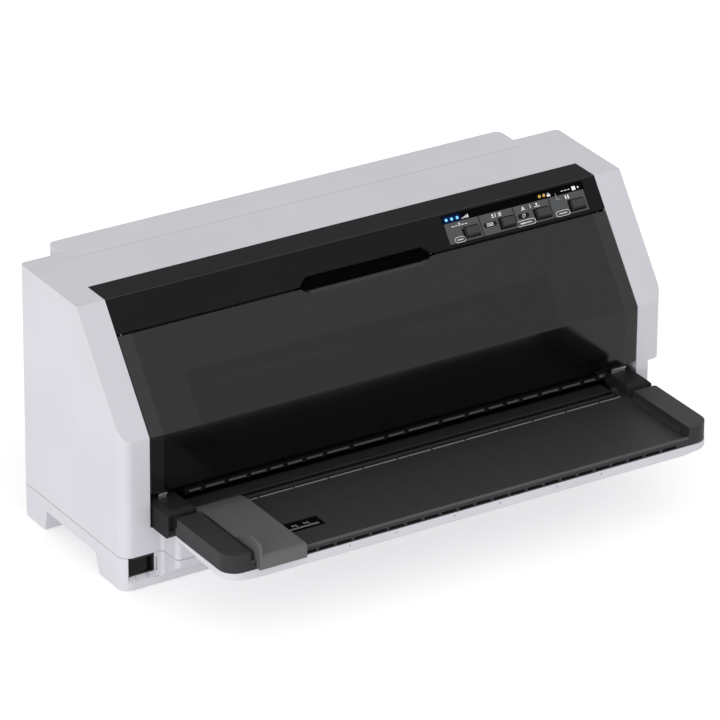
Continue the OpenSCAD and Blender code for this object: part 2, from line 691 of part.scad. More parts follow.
module paper_bed() place() color("#9da0a4") difference() {
    union() {
        along_x(-bed_half, bed_half) polygon([[42.5, 40], [42.5, paper_z - 0.5], [144, paper_z - 0.5],
            [144, paper_z - 2.5],
            [136, paper_z - 2.5], [136, 48], [134, 48], [134, paper_z - 2.5], [44.5, paper_z - 2.5],
            [44.5, 40]]);
        mirror_pair() for (y = [44.5, 118]) block([bed_half - 1, y, paper_z - 6],
            [frame_in, y + 8, paper_z - 2.4]);
    }
    block([-bed_half + 5, rear_axis[0] - 11, paper_z - 4], [bed_half - 5, rear_axis[0] + 11, paper_z + 1]);
    block([-bed_half + 7, line_y - 7, paper_z - 4], [bed_half - 7, line_y + 7, paper_z + 1]);
    for (x = [-120 : 60 : 120]) rod_z(3, paper_z - 6, paper_z + 1, [x, 122]);
}

module platen() place() color("#3b3b3d") {
    along_x(-bed_half + 8, bed_half - 8) polygon([[line_y - 5, frame_low], [line_y - 5, paper_z - 3.2],
        [line_y - 3.5, paper_z - 1],
        [line_y - 2.5, paper_z - 0.3], [line_y + 2.5, paper_z - 0.3], [line_y + 3.5, paper_z - 1],
        [line_y + 5, paper_z - 3.2],
        [line_y + 5, frame_low]]);
    mirror_pair() block([bed_half - 9, line_y - 3, frame_low], [frame_in, line_y + 3, 40]);
}

module carriage_rod() place() color("#c9ccd0") rod_x(rod_r, -frame_out - 1.5, frame_out + 1.5, rod_at);

module front_rail() place() color("#b9bcc0") {
    block([-frame_in, rail_y - 4, rail_z], [frame_in, rail_y + 5, rail_z + 1.6]);
    block([-frame_in, rail_y - 5.6, rail_z - 9], [frame_in, rail_y - 4, rail_z + 1.6]);
}

// ---------- gears and rollers ----------

function involute(a) = (tan(a) - a * PI / 180) * 180 / PI;
pressure_angle = 20;
backlash = 0.3;

// Involute spur gear outline; its first tooth points along the first axis
module gear_2d(teeth) {
    pitch_r = teeth * gear_module / 2;
    base_r = pitch_r * cos(pressure_angle);
    tip_r = pitch_r + 0.9 * gear_module;
    root_r = pitch_r - 1.2 * gear_module;
    start_r = max(base_r, root_r + 0.1);
    steps = 4;
    radii = [for (k = [0 : steps]) start_r + (tip_r - start_r) * k / steps];
    half_pitch = 90 / teeth + involute(pressure_angle) - backlash / pitch_r * 45 / PI;
    half_at = [for (r = radii) half_pitch - involute(acos(min(1, base_r / r)))];
    polygon([for (i = [0 : teeth - 1], k = [-steps - 2 : steps + 2]) if (k != 0)
        let (m = steps + 2 - abs(k), r = m == 0 ? root_r : radii[m - 1],
             a = 360 / teeth * i + sign(k) * half_at[max(0, m - 1)])
        [r * cos(a), r * sin(a)]]);
}

gear_x0 = -frame_out - 7.6;
gear_x1 = -frame_out - 1.4;
big_teeth = 40;
idler_teeth = 22;
tractor_teeth = 30;
pinion_teeth = 12;
pinion_turn = 103.5;
pinion_dist = (big_teeth + pinion_teeth) * gear_module / 2;
pinion_axis = [idler2_y + pinion_dist * cos(pinion_turn), front_axis[1] + pinion_dist * sin(pinion_turn)];
feed_boss_r = 5;
stud_r = 2;

module gear(teeth, at, turn, bore) difference() {
    along_x(gear_x0, gear_x1) translate(at) rotate(turn) difference() {
        gear_2d(teeth);
        circle(bore);
        if (teeth >= big_teeth) for (i = [0 : 4])
            rotate(36 + i * 72) translate([teeth * gear_module * 0.31, 0]) circle(3.6);
    }
    if (teeth >= big_teeth) difference() {
        rod_x(teeth * gear_module / 2 - 3, gear_x0 - 1, gear_x0 + 1.5, at);
        rod_x(bore + 3.4, gear_x0 - 1, gear_x0 + 2, at);
    }
}

roller_ring_pitch = 22;
ring_w = 13;

module rubber_rings(r, at, bore) for (i = [-8 : 7])
    difference() {
        rod_x(r, (i + 0.5) * roller_ring_pitch - ring_w / 2, (i + 0.5) * roller_ring_pitch + ring_w / 2,
            at);
        rod_x(bore, (i + 0.5) * roller_ring_pitch - ring_w, (i + 0.5) * roller_ring_pitch + ring_w, at);
    }

module front_roller() place() color("#35363a") {
    rod_x(shaft_r, gear_x0, half_w - 7.5, front_axis);
    rubber_rings(roller_r, front_axis, shaft_r - 0.1);
    gear(big_teeth, front_axis, 0, shaft_r - 0.1);
}

module rear_roller() place() color("#35363a") {
    rod_x(shaft_r, gear_x0, frame_out + 2, rear_axis);
    rubber_rings(roller_r, rear_axis, shaft_r - 0.1);
    gear(big_teeth, rear_axis, 0, shaft_r - 0.1);
}

knob_x0 = recess_in + 0.8;
knob_x1 = half_w - 5;
module feed_knob() place() color("#343436") difference() {
    along_x(knob_x0, knob_x1) translate(front_axis) difference() {
        circle(knob_d / 2);
        for (i = [0 : 23]) rotate(i * 15) translate([knob_d / 2 + 0.5, 0]) circle(1.2, $fn = 16);
    }
    rod_x(shaft_r, knob_x0 - 1, knob_x1 - 2.5, front_axis);
    rod_x(knob_d / 2 - 4, knob_x1 - 1.5, knob_x1 + 1, front_axis);
}

module front_idler_gear() place() color("#d9d4c6") gear(idler_teeth, [plate_y, front_axis[1]],
    180 / idler_teeth, stud_r + run);
module rear_idler_gear() place() color("#d9d4c6") gear(big_teeth, [idler2_y, front_axis[1]],
    180 / big_teeth, stud_r + run);

motor_r = 17.5;
module feed_motor() place() color("#8f9297") difference() {
    union() {
        rod_x(motor_r, -frame_in, -frame_in + 22, pinion_axis);
        rod_x(feed_boss_r, -frame_out + 0.2, -frame_in + 0.1, pinion_axis);
    }
    rod_x(1 + run, -frame_out - 1, -frame_in + 14, pinion_axis);
}

module feed_pinion() place() color("#c9b37a") {
    gear(pinion_teeth, pinion_axis, pinion_turn + 180 - 360 / pinion_teeth / 2, 0.9);
    rod_x(1, gear_x0, -frame_in + 12, pinion_axis);
}

// Upper paper guide with the row of guide rollers at the mouth, hung from the pinch frame
module front_pinch_frame() place() color("#2a2b2e") {
    pinch_arms(front_axis[0]);
    roof = pinch_z + pinch_r;
    along_x(-roller_posts[10], roller_posts[10]) polygon([[3.6, 70.4], [3.6, 71.3], [14, 71.7],
        [front_axis[0] - 6, roof + 2.6],
        [front_axis[0] - 6, roof + 1], [14.6, 70.6]]);
    mirror_pair() {
        rod_x(guide_roller_r - 0.8, 0, roller_posts[10], guide_roller, $fn = 16);
        rod_x(guide_roller_r, -0.1, roller_posts[1] - post_w / 2 - 0.2, guide_roller, $fn = 16);
        for (i = [1 : 10]) let (x = roller_posts[i]) block([x - post_w / 2, 4.2, guide_roller[1] - 2.4],
            [x + post_w / 2, 8, 70.5]);
        for (i = [1 : 9]) rod_x(guide_roller_r, roller_posts[i] + post_w / 2 + 0.2,
            roller_posts[i + 1] - post_w / 2 - 0.2,
                                guide_roller, $fn = 16);
    }
}
module rear_pinch_frame() place() color("#2a2b2e") pinch_arms(rear_axis[0]);

// Bar between the side frames with an arm between each two pinch rollers
module pinch_arms(at) difference() {
    union() {
        block([-frame_in, at - 7, pinch_z + pinch_r + 0.8], [frame_in, at + 7, pinch_z + pinch_r + 2.8]);
        for (i = [-8 : 8]) block([i * roller_ring_pitch - 2, at - 4, pinch_z - 3.5],
                                 [i * roller_ring_pitch + 2, at + 4, pinch_z + pinch_r + 1.5]);
    }
    rod_x(1.5 + run, -frame_in, frame_in, [at, pinch_z]);
}

module pinch_rollers(at) {
    rod_x(1.5, -8 * roller_ring_pitch - 2, 8 * roller_ring_pitch + 2, [at, pinch_z]);
    rubber_rings(pinch_r, [at, pinch_z], 1.4);
}
module front_pinch_rollers() place() color("#8a8c90") pinch_rollers(front_axis[0]);
module rear_pinch_rollers() place() color("#8a8c90") pinch_rollers(rear_axis[0]);

// ---------- carriage, head and ribbon ----------

home_x = -head_travel / 2;
belt_y = 121;
belt_z = [93, 99];
pulley_r = 7;
belt_t = 1.4;
pulley_x = frame_in - 33;
belt_front_y = belt_y - pulley_r;
ribbon_z = paper_z + 1.5;
head_low = paper_z + 2.6;

module carriage() place() color("#303236") difference() {
    union() {
        block([home_x - carriage_w / 2, rod_at[0] - 10, rod_at[1] - 10.5],
            [home_x + carriage_w / 2, rod_at[0] + 11, rod_at[1] + 10]);
        block([home_x - 23, line_y - 20, rod_at[1] - 2], [home_x + 23, rod_at[0], rod_at[1] + 8]);
        block([home_x - 12, rod_at[0] + 6, belt_z[0] - 2.5], [home_x + 12, belt_front_y + 3.2,
            belt_z[1] + 2.5]);
        block([home_x - 12, rail_y - 2, rail_z + 2], [home_x + 12, line_y, rail_z + 6]);
        block([home_x - 9, rail_y, rail_z - 2.6], [home_x + 9, rail_y + 9, rail_z + 3]);
    }
    rod_x(rod_r + run, home_x - carriage_w, home_x + carriage_w, rod_at);
    block([home_x - 18.4, line_y - 15.4, 60], [home_x + 18.4, line_y + 15.4, 130]);
    block([home_x - 20, belt_front_y - belt_t / 2 - 0.4, belt_z[0] - 0.5],
        [home_x + 20, belt_front_y + belt_t / 2 + 0.4, belt_z[1] + 0.5]);
    block([home_x - 24, rail_y - 6, rail_z - 0.3], [home_x + 24, rail_y + 5.4, rail_z + 1.9]);
    for (s = [-1, 1]) rod_x(rod_r + 1.5, home_x + s * 12 - 6, home_x + s * 12 + 6, rod_at);
}

module print_head() place() color("#6f7277") {
    block([home_x - 18.3, line_y - 15, 84], [home_x + 18.3, line_y + 15, 99]);
    for (i = [0 : 6]) block([home_x - 18.3, line_y - 15, 100.5 + i * 2.6],
        [home_x + 18.3, line_y + 15, 101.9 + i * 2.6]);
    block([home_x - 13, line_y - 12, 98.9], [home_x + 13, line_y + 12, 118]);
    translate([home_x, 0, 0]) along_x(-6, 6) polygon([[line_y - 10, 84.01], [line_y - 3, head_low],
        [line_y + 3, head_low],
                                                      [line_y + 10, 84.01]]);
    block([home_x - 9, line_y - 11, 76], [home_x + 9, line_y + 11, 84.01]);
}

module carriage_belt() place() color("#1f1f20") translate([0, 0,
    belt_z[0]]) linear_extrude(belt_z[1] - belt_z[0]) difference() {
    belt_loop(pulley_r + belt_t / 2);
    belt_loop(pulley_r - belt_t / 2);
}

module belt_loop(r) {
    translate([-pulley_x, belt_y - r]) square([2 * pulley_x, 2 * r]);
    for (s = [-1, 1]) translate([s * pulley_x, belt_y]) circle(r);
}

module pulley(x) {
    rod_z(pulley_r - belt_t / 2 - 0.1, belt_z[0] - 0.8, belt_z[1] + 0.8, [x, belt_y]);
    for (z = [belt_z[0] - 1.8, belt_z[1] + 0.6]) rod_z(pulley_r + 1.4, z, z + 1.2, [x, belt_y]);
}

module drive_pulley() place() color("#c9b37a") {
    pulley(pulley_x);
    rod_z(1.5, belt_z[0] - 12, belt_z[1] + 2, [pulley_x, belt_y]);
}

module idler_pulley() place() color("#c9b37a") difference() {
    pulley(-pulley_x);
    rod_z(2 + run, belt_z[0] - 3, belt_z[1] + 3, [-pulley_x, belt_y]);
}

module idler_bracket() place() color("#b9bcc0") {
    block([-frame_in, belt_y - 8, belt_z[1] + 2.4], [-pulley_x + 12, belt_y + 8, belt_z[1] + 4.2]);
    block([-frame_in, belt_y - 8, belt_z[1] - 2], [-frame_in + 1.8, belt_y + 8, belt_z[1] + 4.2]);
    rod_z(2, belt_z[0] - 2.4, belt_z[1] + 3, [-pulley_x, belt_y]);
}

module carriage_motor() place() color("#8f9297") difference() {
    union() {
        rod_z(19, 66, belt_z[0] - 4.2, [pulley_x, belt_y]);
        block([pulley_x - 22, belt_y - 21, belt_z[0] - 4.3], [frame_in, belt_y + 21, belt_z[0] - 2.8]);
    }
    rod_z(1.5 + run, 78, belt_z[0], [pulley_x, belt_y]);
}

ribbon_low = 103.5;
arm_x = frame_in - 28;
module ribbon_cartridge() place() color("#232426") difference() {
    union() {
        translate([0, 0, ribbon_low]) linear_extrude(19) round_rect(-arm_x - 13, arm_x + 13, 101, 140, 3,
            8);
        mirror_pair() {
            block([arm_x, 70, ribbon_low], [arm_x + 12, 102, ribbon_low + 15]);
            along_x(arm_x, arm_x + 12) polygon([[54, paper_z + 0.6], [54, ribbon_low + 9],
                [60, ribbon_low + 15],
                                                [74, ribbon_low + 15], [74, ribbon_low],
                                                [70, paper_z + 0.6]]);
        }
        mirror_pair() block([arm_x + 12, 106, 108], [frame_out, 122, 112]);
        for (i = [0 : 8]) block([-120 + i * 4, 112, ribbon_low + 18.9],
            [-118.4 + i * 4, 132, ribbon_low + 19.8]);
    }
    mirror_pair() block([arm_x - 1, line_y - 7, ribbon_z - 0.5], [arm_x + 10, line_y + 7, ribbon_z + 0.6]);
    rod_z(3 + run, ribbon_low + 12, ribbon_low + 20, [ribbon_knob_x, 121]);
}

ribbon_knob_x = 150;
module ribbon() place() color("#151516") block([-arm_x - 9.8, line_y - 6.3, ribbon_z - 0.1],
    [arm_x + 9.8, line_y + 6.3, ribbon_z + 0.1]);

module ribbon_knob() place() color("#3c5f8f") {
    translate([ribbon_knob_x, 121, ribbon_low + 19.4]) linear_extrude(6) difference() {
        circle(9);
        for (i = [0 : 11]) rotate(i * 30) translate([9.6, 0]) circle(1.8, $fn = 16);
    }
    rod_z(3, ribbon_low + 12.3, ribbon_low + 19.5, [ribbon_knob_x, 121]);
}

// ---------- boards and sockets ----------

module power_switch_housing() place() color("#1c1c1d") difference() {
    block([switch_x[0] + 0.2, 1.2, switch_z[0]], [switch_x[1] - 0.2, 13.6, switch_z[1]]);
    block([switch_x[0] + 1, 0, switch_z[0] + 1], [switch_x[1] - 1, 12, switch_z[1] - 1]);
    rod_z(rocker_pin_r + run, switch_z[0] - 1, switch_z[1] + 1, rocker_axis);
}
rocker_pin_r = 1.2;

rocker_axis = [(switch_x[0] + switch_x[1]) / 2, 6.6];
rocker_half = 9.6;
rocker_ridge = 4.6;
module power_rocker() place() color("#161617") {
    translate([0, 0, switch_z[0] + 1.3]) linear_extrude(switch_z[1] - switch_z[0] - 2.6) polygon([
        [rocker_axis[0] - rocker_half, 0.8], [rocker_axis[0] + rocker_ridge, 2.2],
        [rocker_axis[0] + rocker_half, 4.4],
        [rocker_axis[0] + rocker_half - 0.4, 6], [rocker_axis[0], 9.4],
        [rocker_axis[0] - rocker_half + 0.8, 4]]);
    rod_z(rocker_pin_r, switch_z[0] + 0.4, switch_z[1] - 0.4, rocker_axis);
}

module main_board() place() color("#2f6b45") {
    board_z = port_z0 - 1.6;
    block([30, 84, board_z], [170, 133, board_z + 1.6]);
    block([usb_x0 - 2, 132, board_z], [port_x0 + 70, 144, board_z + 1.6]);
    for (x = [38, 162], y = [90, 127]) rod_z(2, pan_z + pan_t, board_z + 0.1, [x, y]);
    block([70, 92, board_z + 1.6], [92, 112, board_z + 3.6]);
    block([110, 94, board_z + 1.6], [124, 108, board_z + 3.2]);
}

module power_board() place() color("#8a6a3c") {
    block([-165, 19, pan_z + pan_t + 5], [-40, 54, pan_z + pan_t + 6.6]);
    for (x = [-157, -48]) for (y = [24, 46]) rod_z(2, pan_z + pan_t, pan_z + pan_t + 5, [x, y]);
    block([-140, 24, pan_z + pan_t + 6.6], [-118, 42, pan_z + pan_t + 15]);
    rod_z(6, pan_z + pan_t + 6.6, pan_z + pan_t + 17, [-95, 32]);
}

module power_socket() place() color("#1d1d1f") translate([power_x, case_d, power_z]) difference() {
    union() {
        translate([-14, -20, -10]) cube([28, 20, 20]);
        translate([-17, 0.05, -12]) cube([34, 1.6, 24]);
    }
    translate([-11, -15, -7.5]) cube([22, 18, 15]);
    mirror_pair() translate([10, 0, 11.5]) rotate([0, 45, 0]) translate([0, -30, -4]) cube([8, 40, 8]);
}

module interface_sockets() place() color("#a9acb0") {
    difference() {
        block([port_x0, case_d - 13, port_z0], [port_x0 + 66, case_d + 0.6, port_z0 + 13]);
        block([port_x0 + 5, case_d - 9, port_z0 + 1.3], [port_x0 + 61, case_d + 2, port_z0 + 11.7]);
    }
    block([port_x0 + 9, case_d - 9.5, port_z0 + 5.7], [port_x0 + 57, case_d - 1, port_z0 + 7.3]);
    difference() {
        block([usb_x0, case_d - 16, port_z0], [usb_x0 + 12, case_d + 0.6, port_z0 + 11]);
        block([usb_x0 + 2, case_d - 12, port_z0 + 1.6], [usb_x0 + 10, case_d + 2, port_z0 + 9.4]);
    }
}

module case_screws() place() color("#9a9da1") for (p = screw_spots) {
    rod_z(screw_r + 1.4, floor_z - 2.6, floor_z - 0.6, p);
    rod_z(screw_r, floor_z - 2.6, split_z + 10, p);
}

// ---------- push tractor ----------

tractor_half = rear_mouth_half - 32;
tractor_x = 90;
tractor_w = 28;
guide_rod_y = tractor_axis[0] + 38;
module tractor_frame() place() color("#2b2c2e") {
    mirror_pair() difference() {
        along_x(tractor_half, tractor_half + 6) polygon([[case_d, 30], [case_d, 60], [guide_rod_y + 8, 60],
            [guide_rod_y + 8, 44], [tractor_axis[0], 34]]);
        rod_x(shaft_r + run, tractor_half - 1, tractor_half + 7, tractor_axis);
    }
    block([-tractor_half - 6, case_d, rear_mouth_low - 1.8], [tractor_half + 6, case_d + 4,
        rear_mouth_low + 4]);
    rod_x(3, -tractor_half - 5, tractor_half + 5, [guide_rod_y, 52]);
}

module tractor_shaft() place() color("#c9ccd0") {
    rod_x(shaft_r, gear_x0, tractor_half + 10, tractor_axis);
    gear(tractor_teeth, tractor_axis, 0, shaft_r - 0.1);
}

flap_pin_r = 1.2;
flap_z = paper_z - 0.4;
lug_y = [tractor_axis[0] - 9, tractor_axis[0] + 28];
lug_w = 4;

// Block with a pin wheel slot; side is -1 or 1, the side that its flap is hinged on
module tractor_body(x, side) difference() {
    union() {
        along_x(x - tractor_w / 2, x + tractor_w / 2) polygon([[tractor_axis[0] - 12, 45],
            [tractor_axis[0] - 12, paper_z - 2],
            [guide_rod_y + 9, paper_z - 2], [guide_rod_y + 9, 45]]);
        for (y = lug_y) translate([0, y, 0]) rotate([90, 0, 0]) translate([0, 0,
            -lug_w]) linear_extrude(lug_w) {
            translate([x + side * (tractor_w / 2 + 2.4), flap_z]) circle(2.6);
            translate([x + side * tractor_w / 2 - (side < 0 ? 2.4 : 1), flap_z - 6]) square([3.4, 6]);
        }
    }
    rod_x(3 + run, x - 20, x + 20, [guide_rod_y, 52]);
    rod_x(pin_wheel_r + 1.8, x - 4.5, x + 4.5, tractor_axis);
    rod_x(shaft_r + 1, x - 20, x + 20, tractor_axis);
    translate([x + side * (tractor_w / 2 + 2.4), lug_y[0] - 1, flap_z]) rotate([-90, 0, 0])
        cylinder(r = flap_pin_r + run, h = 50);
}
pin_wheel_r = 8;
module tractor_left() place() color("#3c3d40") tractor_body(-tractor_x, -1);
module tractor_right() place() color("#3c3d40") tractor_body(tractor_x, 1);

module pin_wheel(x) difference() {
    union() {
        rod_x(pin_wheel_r - 1, x - 4, x + 4, tractor_axis);
        for (i = [0 : 5]) translate([x, tractor_axis[0], tractor_axis[1]]) rotate([i * 60, 0, 0])
            cylinder(r = 1.3, h = pin_wheel_r + 1.3);
    }
    rod_x(shaft_r + run, x - 5, x + 5, tractor_axis);
}
module pin_wheel_left() place() color("#d9d4c6") pin_wheel(-tractor_x);
module pin_wheel_right() place() color("#d9d4c6") pin_wheel(tractor_x);

module tractor_flap(x, side) {
    hinge_x = x + side * (tractor_w / 2 + 2.4);
    difference() {
        union() {
            block([x - tractor_w / 2, tractor_axis[0] - 11, paper_z + 1],
                [x + tractor_w / 2, guide_rod_y + 8, paper_z + 4]);
            translate([0, lug_y[0] + lug_w + clear, 0]) rotate([-90, 0, 0])
                linear_extrude(lug_y[1] - lug_y[0] - lug_w - 2 * clear) {
                    translate([hinge_x, -flap_z]) circle(2.4);
                    translate([min(hinge_x, x + side * tractor_w / 2) - 1, -paper_z - 4]) square([4.4,
                        3.4]);
                }
        }
        block([x - 5, tractor_axis[0] - 12, paper_z], [x + 5, guide_rod_y - 6, paper_z + 5]);
    }
    translate([hinge_x, lug_y[0] + 0.4, flap_z]) rotate([-90, 0, 0]) cylinder(r = flap_pin_r,
        h = lug_y[1] - lug_y[0] + lug_w - 0.8);
}
module tractor_flap_left() place() color("#2f3033") tractor_flap(-tractor_x, -1);
module tractor_flap_right() place() color("#2f3033") tractor_flap(tractor_x, 1);

rear_guide_half = rear_mouth_half - 17;
module rear_guide() place() color("#303134") {
    along_x(-rear_guide_half, rear_guide_half) polygon([[guide_axis[0] - 3, guide_axis[1] - 2],
        [guide_axis[0] - 2, guide_axis[1] + 3], [rear_reach, 88],
                                [rear_reach, 85.5], [guide_axis[0] + 2, guide_axis[1] - 3]]);
    mirror_pair() rod_x(guide_pin_r, rear_guide_half - 5, rear_mouth_half + 4.5, guide_axis);
}

lower_case();
foot_pads();
upper_case();
top_band();
panel_plate();
status_lamps();
power_socket();
power_switch_housing();
power_rocker();
case_screws();
front_cover();
hinge_blocks();
paper_table();
table_tray();
edge_guide();
button_1();
button_2();
button_3();
button_4();
base_pan();
side_frame_left();
side_frame_right();
entry_guide();
paper_bed();
platen();
carriage_rod();
front_rail();
front_roller();
rear_roller();
feed_knob();
front_pinch_frame();
rear_pinch_frame();
front_pinch_rollers();
rear_pinch_rollers();
front_idler_gear();
rear_idler_gear();
feed_motor();
feed_pinion();
carriage();
print_head();
carriage_belt();
carriage_motor();
drive_pulley();
idler_bracket();
idler_pulley();
ribbon_cartridge();
ribbon();
ribbon_knob();
main_board();
power_board();
interface_sockets();
tractor_frame();
tractor_shaft();
tractor_left();
tractor_right();
tractor_flap_left();
tractor_flap_right();
pin_wheel_left();
pin_wheel_right();
rear_guide();
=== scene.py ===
"""Finishes, printed signs, small trim and a plain studio stage for a flatbed dot matrix printer."""

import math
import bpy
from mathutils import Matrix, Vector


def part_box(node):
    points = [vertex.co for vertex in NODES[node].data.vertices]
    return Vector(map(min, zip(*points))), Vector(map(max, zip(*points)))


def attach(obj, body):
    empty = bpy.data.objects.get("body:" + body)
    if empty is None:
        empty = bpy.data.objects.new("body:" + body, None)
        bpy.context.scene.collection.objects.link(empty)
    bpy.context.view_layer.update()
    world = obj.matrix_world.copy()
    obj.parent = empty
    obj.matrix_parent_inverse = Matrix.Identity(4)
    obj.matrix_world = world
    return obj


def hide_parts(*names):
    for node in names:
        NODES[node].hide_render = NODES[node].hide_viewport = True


bl_info = {
    "name": "Dot Matrix Printer Looks",
    "version": (1, 0, 0),
    "blender": (4, 5, 0),
    "location": "View3D > Sidebar > Printer",
    "description": "Finishes, printed signs, small trim and a studio stage for a flatbed dot matrix printer",
    "category": "Object",
}

import bpy
import numpy as np
from bpy.props import FloatProperty, FloatVectorProperty, IntProperty, PointerProperty
from mathutils import Matrix, Vector

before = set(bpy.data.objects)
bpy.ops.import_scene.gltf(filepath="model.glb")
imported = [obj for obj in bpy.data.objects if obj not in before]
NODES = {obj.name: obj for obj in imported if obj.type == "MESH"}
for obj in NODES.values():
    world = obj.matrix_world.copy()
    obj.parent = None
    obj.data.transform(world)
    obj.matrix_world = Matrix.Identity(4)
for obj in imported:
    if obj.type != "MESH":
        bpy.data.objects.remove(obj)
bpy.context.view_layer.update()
MM = 0.001
# Face of the front pillars
PILLAR_Y = -0.0735
# Top edge of the front slope, the way down it, and the way into the case at right angles to it
RIDGE = (0.0, -0.0095, 0.209)
DOWN_SLOPE = (0.0, -0.597, -0.802)
INTO_SLOPE = (0.0, 0.802, -0.597)
# Distance of the seam between band and cover down the slope, in millimetres
SEAM_S = 27.87
# Panel rows down its slope and its dividers from the left, in millimetres
WINDOW_TOP_S, WINDOW_LOW_S, LAMP_S = 1.95, 8.4, 5.6
DIVIDERS = (31.7, 62.7, 95.5)
# Lamps that are lit blue, counted from the left
LIT_LAMPS = 3


# ---------- settings ----------


def colour(label, value, words):
    """A colour setting, stored as a linear red, green and blue."""
    return FloatVectorProperty(name=label, description=words, subtype="COLOR", size=3, min=0.0, max=1.0, default=value)


def length(label, value, words):
    """A length setting in metres."""
    return FloatProperty(name=label, description=words, default=value, unit="LENGTH", precision=5)


def bearing(label, degrees, words):
    """An angle setting, given in degrees."""
    return FloatProperty(name=label, description=words, default=math.radians(degrees), subtype="ANGLE")


class PrinterFinish(bpy.types.PropertyGroup):
    """Colours and grain of the printer's surfaces."""

    case: colour("Case", (0.500, 0.494, 0.530), "Light grey plastic of the case")
    band: colour("Band", (0.011, 0.011, 0.012), "Black plastic of the band over the top")
    cover: colour("Cover", (0.0064, 0.0064, 0.007), "Smoked plastic of the front cover")
    table: colour("Table", (0.021, 0.021, 0.023), "Dark plastic of the paper table")
    guide: colour("Edge guide", (0.081, 0.081, 0.083), "Grey plastic of the edge guide")
    panel: colour("Panel", (0.053, 0.055, 0.058), "Grey plate of the control panel")
    black: colour("Black parts", (0.012, 0.012, 0.013), "Black plastic of the inner parts")
    steel: colour("Steel", (0.55, 0.56, 0.58), "Plated steel of the frame")
    nylon: colour("Nylon", (0.62, 0.59, 0.50), "Natural nylon of the gears")
    ink: colour("Signs", (0.80, 0.80, 0.80), "White ink of the printed signs")
    grain: length("Grain", 0.0009, "Size of the moulded grain")
    edge: length("Edge", 0.0006, "Radius that the edges catch light with")


class PrinterTrim(bpy.types.PropertyGroup):
    """Sizes of the printed signs and small trim."""

    ink_height: length("Ink height", 0.00006, "Thickness of printed ink")
    line: length("Line", 0.00032, "Width of a printed line")
    tick_step: length("Tick step", 0.00254, "Distance between two ticks of the table's scale")
    teeth: IntProperty(name="Belt teeth", description="Number of teeth on the carriage belt",
                       default=360, min=60, max=500)


class PrinterStage(bpy.types.PropertyGroup):
    """Camera and lights."""

    azimuth: bearing("Azimuth", -32.228, "Turn of the camera round the printer")
    elevation: bearing("Elevation", 25.992, "Height of the camera over the horizon")
    roll: bearing("Roll", 0.466, "Turn of the camera about its own axis")
    distance: length("Distance", 4.40873, "Distance of the camera from the middle of the printer")
    slide: length("Slide", 0.0403, "Distance of the camera to the right of its line")
    drop: length("Drop", 0.02556, "Distance of the camera below its line")
    focal_mm: FloatProperty(name="Focal length", description="Focal length in millimetres", default=287.08, min=20)
    world: FloatProperty(name="World", description="Strength of the light from all round", default=1.0, min=0)
    key: FloatProperty(name="Key light", description="Power of the large light in front", default=45, min=0)


# ---------- shader building ----------


